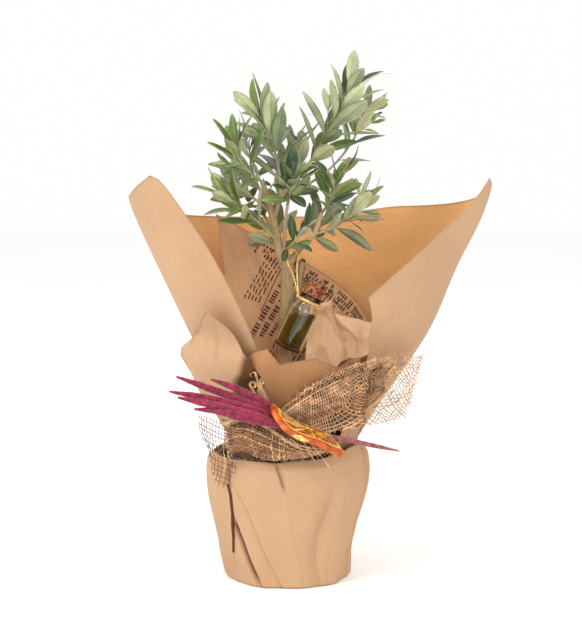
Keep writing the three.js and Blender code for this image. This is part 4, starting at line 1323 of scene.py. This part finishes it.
def vial():
    glass = Heap()
    add_lathed(glass, lathed(rounded(VIAL_OUTSIDE) + rounded(VIAL_INSIDE), 72))
    glass.piece("vial_glass", [GLASS], "glass", "vial")


def oil():
    """The oil fills the vial up to a level surface, which lies aslant in it."""
    heap = Heap()
    foot = [p for p in rounded(OIL_SIDE, 6) if p[1] < 3.5]
    points = lathed(foot + [(9.8, h) for h in np.linspace(3.6, 33.4, 40)], 64)
    level = (OIL_LEVEL - VIAL_FOOT[2] + points[..., 0] * math.sin(VIAL_LEAN)) / math.cos(VIAL_LEAN)
    points[..., 2] = np.minimum(points[..., 2], level)
    rim = points[-1]
    centre = rim.mean(axis=0)
    lid = [centre + (rim - centre) * s for s in (0.97, 0.8, 0.5, 0.2, 0.001)]
    add_lathed(heap, np.concatenate([points, lid]))
    heap.piece("oil_fill", [OIL], "oil", "oil")


def cork():
    heap = Heap()
    side = [(CORK_RADIUS + out, z) for out, z in CORK_SIDE]
    profile = np.array(rounded([(0.01, 41.5), *side, (0.01, 57.6)], 4))
    profile = evenly(np.pad(profile, ((0, 0), (0, 1))), 70)[:, :2]
    add_lathed(heap, lathed(profile, 64, cork_bumps))
    heap.piece("cork_stopper", [CORK], "cork", "cork")


def on_neck(turn, out, up=0.0):
    """A point by its turn round the vial's neck, how far out of the tie it lies, and how far above it."""
    a = math.radians(turn)
    reach = TIE_RADIUS + out
    return in_vial([-reach * math.cos(a), -reach * math.sin(a), NECK + up])


def neck_ring(lift):
    turns = np.linspace(0, 360, 61)
    return np.array([on_neck(t, -0.02 + 0.1 * math.sin(math.radians(3 * t)), lift) for t in turns])


def raffia():
    """Two turns round the neck, two runs up to the trunk, and a knot in front."""
    heap = Heap()
    for lift, size in ((0.0, 0.72), (0.75, 0.5)):
        ring = neck_ring(lift)
        sweep(heap, ring, size, 8, unit(ring - ring[:-1].mean(axis=0)), flat=0.62)
    share = np.linspace(0, 1, 60)
    knot = on_neck(24, 0)
    fork = [4.5, -2.2, 262.8]
    for points in (
        [knot, [3.6, -16, 244], [-0.8, -8, 254], [0.4, -6, 259.5], fork],
        [knot, [7, -17, 240], [6.9, -8.6, 252], [7.9, -5.4, 258.5], fork],
    ):
        sweep(heap, through(points, 60), 0.72 * (1 + 0.16 * rough(share * 9, share * 0, 3)), 8, flat=0.7)
    loop = through([on_neck(12, 0.6, 0.4), on_neck(22, 1.3, 0.2), on_neck(40, 1.1), on_neck(66, 0.3)], 40)
    widths = np.interp(np.linspace(0, 1, 40), [0, 0.3, 0.6, 1], [0.7, 1.2, 1.25, 0.8])
    sweep(heap, loop, widths, 10, flat=0.7)
    over = [on_neck(17, 0.2, -0.9), on_neck(20, 1.5, 0), on_neck(26, 1.1, 1.1), on_neck(30, 0.1, 0.4)]
    sweep(heap, through(over, 24), 0.6, 8)
    heap.piece("raffia_tie", [RAFFIA], "raffia", "raffia")


# The trunk and the boughs

# each limb's line and its radii along it
TRUNK = (
    [[-8, 0, 93.8], [-8, 0, 108], [-5.2, 0, 150], [-3.8, 0, 182], [-1.2, 0, 225], [-1, 0, 255]],
    [9.6, 7.6, 6.9, 6.5, 5.5, 5],
)
STUB = ([[2.5, 1.5, 206], [7.8, 2.4, 228], [11.4, 3, 255]], [3, 3.1, 2.7])
STUB_END = (
    [[11.3, 3, 253.2], [11.45, 3, 255.4], [11.5, 3.05, 255.9]],
    [2.5, 2.62, 2.5, 2.3, 2.0, 1.6, 1.0, 0.4],
)
BOUGHS = {
    "bough_left": (
        [[-2.5, 0, 249], [-6.8, 0, 261], [-10, 0, 275], [-12.4, 0, 288], [-16, 0, 301], [-21, 0, 318]],
        [4.4, 4, 3.5, 3.1, 2.6, 2.3],
    ),
    "bough_right": (
        [[0.5, -1, 251], [9.6, -2, 264.5], [21, -2, 276.5], [26.5, -3, 293]],
        [2.9, 2.4, 2.1, 1.8],
    ),
    "bough_middle": (
        [[-12.2, 0.5, 287], [-5, 3, 305.5], [1, 4.5, 313.5], [6.8, 5, 318]],
        [2.2, 1.8, 1.6, 1.5],
    ),
    "bough_front": (
        [[-4, -2, 258], [-3.2, -6.5, 272], [-2.2, -8, 288], [-0.6, -9, 300]],
        [1.9, 1.5, 1.35, 1.25],
    ),
}


def bark(heap, limb, sides, seed, relief, cut=0):
    """A limb with long shallow ridges in its skin, small knots, and a rounded end of the material cut."""
    points, radii = limb
    dense = curve(points)
    gone = length_along(dense)
    long = gone[-1]
    steps = max(int(long / 0.9), 12)
    share = np.linspace(0, 1, steps + 1)
    along = np.interp(share, gone / long, np.linspace(0, 1, len(dense)))
    radius = np.interp(along, np.linspace(0, 1, len(radii)), radii)
    radius[-1] *= 0.72
    radius[-2] *= 0.93
    angle = np.arange(sides) / sides
    mm = share[:, None] * long
    ridges = rough(mm / 16 + 0 * angle, angle[None] * 9, seed) * 0.55
    ridges = ridges + rough(mm / 5, angle[None] * 14, seed + 1) * 0.3
    for k in range(int(long / 13)):
        at, side = long * chance(k, seed, 31), chance(k, seed, 32)
        size = 0.08 + 0.1 * chance(k, seed, 33)
        away = (angle[None] - side + 0.5) % 1 - 0.5
        ridges = ridges + 9 * size * hump(mm, at, 2.2) * hump(away, 0, 0.11)
    seamless = mix(ridges, ridges[:, :1], smooth(angle, 0.93, 1.0)[None])
    sweep(heap, evenly(dense, steps + 1), radius[:, None] * (1 + relief * seamless) - 0.15, sides)
    heap.kinds[-1][1] = cut


def tree():
    heap = Heap()
    bark(heap, TRUNK, 56, 3, 0.085)
    bark(heap, STUB, 36, 4, 0.07, cut=1)
    points, radii = STUB_END
    sweep(heap, through(points, len(radii)), radii, 28, kind=1)
    heap.piece("trunk_bark", [BARK, CUT_WOOD], "bark", "trunk")
    for k, (name, limb) in enumerate(BOUGHS.items()):
        heap = Heap()
        bark(heap, limb, 36, 10 + k, 0.07)
        skin, slot = (YOUNG_BARK, "green_bark") if name == "bough_front" else (BARK, "bark")
        heap.piece(f"{name}_bark", [skin], slot, name)


# The leaves

# each spray's root, tip, bow, pairs of leaves, leaf length, and the turn of its first pair in degrees
SPRAYS = {
    "spray_left_outer": ([-20.6, -0.5, 317], [-41, -20, 343], [-4, -2, -1], 5, 37, 60),
    "spray_left_top": ([-6, 2.6, 303.5], [-22, 8, 368], [4, 0, 2], 8, 40, 30),
    "spray_left_low": ([-8.6, -0.5, 269.5], [-49, -26, 306], [0, -2, 2], 5, 33, 70),
    "spray_left_back": ([-13.5, 0.5, 292.5], [-45, 30, 313], [-3, 0, 4], 5, 32, 0),
    "spray_right_top": ([6.4, 5, 317.6], [48, -9, 389], [1, 0, -3], 9, 41, 100),
    "spray_right_outer": ([-3, 3.7, 308.4], [62, 18, 371], [6, 0, -10], 6, 33, 10),
    "spray_centre": ([1.6, 4.5, 314], [11, 20, 344], [3, 2, 0], 5, 33, 60),
    "spray_right_low": ([26.2, -3, 292.4], [36, -20, 316], [3, 0, 0], 5, 29, 35),
    "spray_right_side": ([20.4, -2, 276], [55, 6, 298], [2, 0, -4], 5, 34, 85),
    "spray_front": ([-0.7, -9, 299.4], [4, -30, 322], [0, -3, 0], 5, 29, 15),
    "spray_front_low": ([-3.6, -3, 262], [12, -27, 281], [0, -2, -2], 3, 24, 70),
    "spray_back_left": ([-17, 0.5, 304], [-33, 52, 351], [-3, 6, -6], 6, 34, 25),
    "spray_back_mid": ([-8.5, 1.8, 297], [3, 60, 346], [0, 8, -8], 7, 34, 55),
    "spray_back_right": ([13, -2, 267.8], [40, 52, 320], [2, 8, -8], 6, 33, 5),
    "spray_back_low": ([-5.4, 0.5, 262], [-22, 48, 297], [0, 6, -4], 5, 31, 40),
}
# the share of the stem below the first leaves, for most sprays and for the others
BARE = 0.22
BARER = {"spray_right_outer": 0.55}
# the leaves' colours, each for the upper side and the underside
TINTS = [
    ((92, 116, 50), (170, 177, 138)),
    ((60, 80, 52), (152, 161, 127)),
    ((114, 132, 70), (180, 185, 147)),
    ((50, 68, 52), (130, 141, 109)),
]
RIB_TINT = np.array((206, 206, 160))
# which tint each spray's leaves mostly have
SPRAY_TINT = [0, 0, 2, 1, 2, 2, 1, 0, 2, 1, 1, 1, 3, 1, 3]

# single thin leaves seen edge-on: their line, half width, facing, thickness share and material
STRAYS = [
    (
        [[40, -6, 376], [52, 2, 388], [62.7, 8, 397], [73, 10, 402.6], [84, 10, 402.8]],
        1.0, (0, 0, 1), 0.35, 1,
    ),
    (
        [[-16.5, 7.5, 358], [-19.5, 8, 371], [-21.8, 8, 383], [-25.5, 7, 395], [-28.6, 6, 403.3]],
        1.5, (0, 1, 0), 0.25, 0,
    ),
    (
        [[26, 6, 316], [36, 5.5, 321.5], [46, 7, 328.5], [53, 8, 337], [55.9, 8, 346]],
        1.2, (0, 1, 0.3), 0.3, 9,
    ),
    (
        [[48, 5, 294], [58, 3, 299], [65, 2, 305], [70, 3, 312], [73, 4, 320]],
        0.5, (0, 1, 0), 0.6, 4,
    ),
]

# the rows of points along a leaf, and the points of each row across it, as shares
LEAF_STATIONS = np.array([0, 0.05, 0.1, 0.18, 0.3, 0.44, 0.58, 0.72, 0.84, 0.93, 0.98, 1.0])
LEAF_ACROSS = np.array([-1, -0.72, -0.4, -0.07, 0.07, 0.4, 0.72, 1])


def stem_line(root, tip, bow):
    root, tip, bow = np.array(root, float), np.array(tip, float), np.array(bow, float)
    middle = (root + tip) / 2 + 2 * bow
    t = np.linspace(0, 1, 201)[:, None]
    return (1 - t) ** 2 * root + 2 * t * (1 - t) * middle + t * t * tip


def at_share(line, share):
    """The place at a share of a stem's length, and the stem's direction there."""
    gone = length_along(line)
    x = share * gone[-1]
    i = min(int(np.searchsorted(gone, x)), 200)
    place = np.array([np.interp(x, gone, line[:, k]) for k in range(3)])
    return place, unit(line[min(i + 1, 200)] - line[max(i - 1, 0)])


def off_stem(stem, turn):
    """The direction square to the stem at a turn round it."""
    side = unit(np.cross(stem, unit(np.array([0.2, -1, 0.1]))))
    return side * math.cos(turn) + np.cross(stem, side) * math.sin(turn)


def leaning(stem, out, spread):
    """The way a leaf points that leans out from the stem by spread, and its upper side's normal."""
    along = stem * math.cos(spread) + out * math.sin(spread)
    return along, stem * math.sin(spread) - out * math.cos(spread)


def pair_share(bare, share):
    """Where on the stem the pair at a share of all pairs grows."""
    return mix(bare, 1, share**0.9)


def leaves_of(order, line, pairs, leaf, start, bare):
    """By the rule of the part's source: each pair crosses the one below, and they close towards the tip."""
    for pair in range(pairs + 1):
        share = pair / pairs
        place, stem = at_share(line, pair_share(bare, share))
        for twin in range(2):
            for attempt in range(3):
                key = 40 * pair + 10 * twin + attempt
                turn = math.radians(start + 90 * pair + 180 * twin + 50 * (chance(order, key, 1) - 0.5))
                spread = math.radians(mix(58, 24, share) + 26 * (chance(order, key, 2) - 0.5))
                out = off_stem(stem, turn)
                along, normal = leaning(stem, out, spread)
                roll = Matrix.Rotation(math.radians(60 * (chance(order, key, 3) - 0.5)), 3, Vector(along))
                normal = np.array(roll @ Vector(normal))
                size = mix(0.82, 1, math.sin(math.pi * min(share + 0.18, 1)))
                length = leaf * (size * mix(0.86, 1.1, chance(order, key, 4)))
                yield (pair, twin), place + out * 0.4, along, normal, length, key


def add_leaf(heap, base, along, normal, length, key, order, tint, share=0.32):
    """A thin lance-shaped leaf: folded a little along its midrib, arched, green above and silvery below."""
    t = clamp((LEAF_STATIONS - 0.06) / 0.94)
    half = length * share / 2 * np.maximum(np.sin(np.pi * t**1.15), 0) ** 0.66
    half = np.maximum(half, np.where(LEAF_STATIONS < 0.99, 0.42, 0.05))
    width = unit(np.cross(normal, along))
    arch = mix(-0.04, 0.13, chance(order, key, 11)) * length
    sway = 0.1 * (chance(order, key, 12) - 0.5) * length
    fold = mix(0.1, 0.42, chance(order, key, 13))
    s = LEAF_STATIONS[:, None]
    beside = np.abs(LEAF_ACROSS[None])
    w = LEAF_ACROSS[None] * half[:, None]
    ripple = 0.25 * np.sin(9 * s + 6 * chance(order, key, 14)) * beside**2
    lift = fold * np.abs(w) - arch * s**2 + ripple * smooth(s, 0.1, 0.3)
    points = base + along * (s * length)[..., None] + width * (w + sway * s**2)[..., None]
    points = points + normal * lift[..., None]
    thick = 0.14 + 0.1 * (1 - beside)
    rib = 0.2 * (beside < 0.1) * (1 - s)
    upper = points + normal * (thick - rib * 0.5)[..., None]
    under = points - normal * (thick + rib)[..., None]
    middle = np.tile(np.arange(len(LEAF_ACROSS) - 1) == 3, len(LEAF_STATIONS) - 1)
    green, silver, ridge = 3 * tint, 3 * tint + 1, 3 * tint + 2
    heap.sheet(upper, under, (np.where(middle, ridge, green), np.where(middle, ridge, silver), silver))


def side_twig(leaves, twigs, order, n, place, stem, tint, leaf):
    """A short finer twig in a leaf's axil, with two pairs of young leaves."""
    key = 900 + 20 * n
    turn = 2 * math.pi * chance(order, key, 1)
    direction = unit(stem * 0.85 + off_stem(stem, turn) * 0.6)
    long = leaf * mix(0.25, 0.4, chance(order, key, 2))
    t = np.linspace(0, 1, 9)[:, None]
    path = place + direction * (t * long) + stem * (t**2 * 2)
    sweep(twigs, path, np.linspace(0.62, 0.35, 9), 6)
    for pair in range(2):
        for twin in range(2):
            k = key + 4 * pair + twin + 5
            out = off_stem(direction, turn + math.pi / 2 * pair + math.pi * twin)
            spread = math.radians(mix(46, 24, pair) + 20 * (chance(order, k, 2) - 0.5))
            along, normal = leaning(direction, out, spread)
            size = leaf * mix(0.34, 0.5, chance(order, k, 4))
            add_leaf(leaves, path[4 + 4 * pair] + out * 0.3, along, normal, size, k, order, tint, 0.28)


def leaf_materials():
    """For each tint its upper side, its underside and its rib."""
    materials = []
    for k, (upper, under) in enumerate(TINTS, 1):
        materials += [
            leaf_material(f"leaf upper {k}", upper, 0.42, 0.25),
            leaf_material(f"leaf under {k}", under, 0.75, 0.3),
            leaf_material(f"leaf rib {k}", mix(np.array(upper), RIB_TINT, 0.4), 0.6, 0.2),
        ]
    return materials


def corners_of(name):
    """The corners of a node's solid, in millimetres."""
    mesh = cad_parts[name].data
    corners = np.empty(len(mesh.vertices) * 3)
    mesh.vertices.foreach_get("co", corners)
    return corners.reshape(-1, 3) / MM


def add_stem(twigs, line, pairs, bare):
    """A spray's stem, a little thicker where its pairs of leaves grow."""
    share = np.linspace(0, 1, 60)
    joints = sum(0.16 * hump(share, pair_share(bare, p / pairs), 0.012) for p in range(pairs + 1))
    sweep(twigs, evenly(line, 60), (mix(1.3, 0.62, share) * (1 + joints))[:, None] * np.ones(12), 12)


SAME_PLACE = 0.25  # how near a leaf's tip must be to a corner of its solid


def spray(leaves, twigs, order, name):
    """One spray. A leaf grows only where its solid has it, which a corner at the leaf's tip tells."""
    root, tip, bow, pairs, leaf, start = SPRAYS[name]
    corners = corners_of(name)
    line = stem_line(root, tip, bow)
    bare = BARER.get(name, BARE)
    add_stem(twigs, line, pairs, bare)
    grown = set()
    for which, base, along, normal, length, key in leaves_of(order, line, pairs, leaf, start, bare):
        end = base + along * length
        if which in grown or np.min(np.linalg.norm(corners - end, axis=1)) > SAME_PLACE:
            continue
        grown.add(which)
        other = int(4 * chance(order, key, 15))
        tint = SPRAY_TINT[order] if chance(order, key, 16) < 0.6 else other
        add_leaf(leaves, base, along, normal, length, key, order, tint)
    for n in range(1, pairs):
        if chance(order, n, 41) < 0.35:
            place, ahead = at_share(line, pair_share(bare, n / pairs) + 0.03)
            side_twig(leaves, twigs, order, n, place, ahead, SPRAY_TINT[order], leaf)


def foliage():
    leaves, twigs = Heap(), Heap()
    for order, name in enumerate(SPRAYS):
        spray(leaves, twigs, order, name)
    share = np.linspace(0, 1, 30)
    for points, widest, facing, flat, kind in STRAYS:
        path = through(points, 30)
        radii = np.maximum(widest * np.sin(np.pi * share**0.8) ** 0.7, 0.3)
        facing = np.broadcast_to(unit(np.array(facing, float)), path.shape)
        sweep(leaves, path, radii, 8, facing, kind, flat)
    leaves.piece("olive_leaves", leaf_materials(), "leaf", *SPRAYS)
    twigs.piece("olive_twigs", [TWIG], "green_bark")


# The pot and the soil keep their solids and get their materials


def repaint(node, material):
    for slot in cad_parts[node].material_slots:
        slot.link = "OBJECT"
        slot.material = material


SOIL_TOP = 93.5
SOIL_RADIUS = 53
CRUMBS = 420


def soil_crumbs():
    """Loose crumbs of bark and earth on the soil, none of them in the trunk."""
    heap = Heap()
    i, j = np.meshgrid(np.arange(5), np.arange(7), indexing="ij")
    lat, lon = i / 4 * np.pi, j / 7 * 2 * np.pi
    for k in range(CRUMBS):
        a = 2 * math.pi * chance(k, 1, 51)
        r = SOIL_RADIUS * math.sqrt(chance(k, 2, 51))
        size = mix(0.8, 2.4, chance(k, 3, 51) ** 2)
        centre = np.array([r * math.cos(a), r * math.sin(a), SOIL_TOP + size * 0.3])
        if math.hypot(centre[0] - TRUNK[0][0][0], centre[1]) < 10:
            continue
        bump = size * (1 + 0.35 * rough(lat * 2 + k, lon * 1.5, k))
        x, y = bump * np.sin(lat) * np.cos(lon), bump * np.sin(lat) * np.sin(lon)
        crumb = np.stack([x * 1.4, y, 0.6 * bump * np.cos(lat)], -1)
        heap.add(centre + crumb, grid_faces(5, 7, True)[:, ::-1])
    heap.piece("soil_crumbs", [SOIL], "soil", flat=True)


papers()
burlap()
spikes()
straw()
slice_piece()
vial()
oil()
cork()
raffia()
tree()
foliage()
repaint("pot", PLASTIC)
repaint("soil", SOIL)
soil_crumbs()


# Floor and light

LAMPS = [
    ("key", (-1.3, -1.2, 1.3), 0.8, 24, (1.0, 0.985, 0.96)),
    ("front", (0.5, -1.7, 0.8), 0.9, 13, (1.0, 0.98, 0.96)),
    ("back", (0.2, 1.6, 1.4), 1.2, 7, (1.0, 0.99, 0.97)),
]
LIT = Vector((0, 0, 0.2))  # the point that the lamps face


def floor():
    """A round pale floor, 16 metres across."""
    mesh = bpy.data.meshes.new("floor")
    ring = [(8 * math.cos(k * math.pi / 32), 8 * math.sin(k * math.pi / 32), -0.0003) for k in range(64)]
    mesh.from_pydata(ring, [], [list(range(64))])
    patches = (3, 2, (0.3, (251, 251, 250)), (0.7, (253, 253, 253)))
    mesh.materials.append(mottled("studio floor", (252, 252, 251), 0.9, patches))
    made = bpy.data.objects.new("floor", mesh)
    bpy.context.collection.objects.link(made)


def lights():
    """A bright room and three soft lamps: each has a name, a place, a size, a power and a colour."""
    world = bpy.data.worlds.new("studio")
    bpy.context.scene.world = world
    world.use_nodes = True
    world.node_tree.nodes["Background"].inputs["Color"].default_value = (1.0, 0.995, 0.985, 1)
    world.node_tree.nodes["Background"].inputs["Strength"].default_value = 1.0
    for name, place, size, power, colour in LAMPS:
        data = bpy.data.lights.new(name, "AREA")
        data.shape = "RECTANGLE"
        data.size = size
        data.size_y = 1.5 * size
        data.energy = power
        data.color = colour
        lamp = bpy.data.objects.new(name, data)
        lamp.location = place
        lamp.rotation_euler = (LIT - Vector(place)).to_track_quat("-Z", "Y").to_euler()
        bpy.context.collection.objects.link(lamp)
    bpy.context.scene.view_settings.view_transform = "Standard"


floor()
lights()
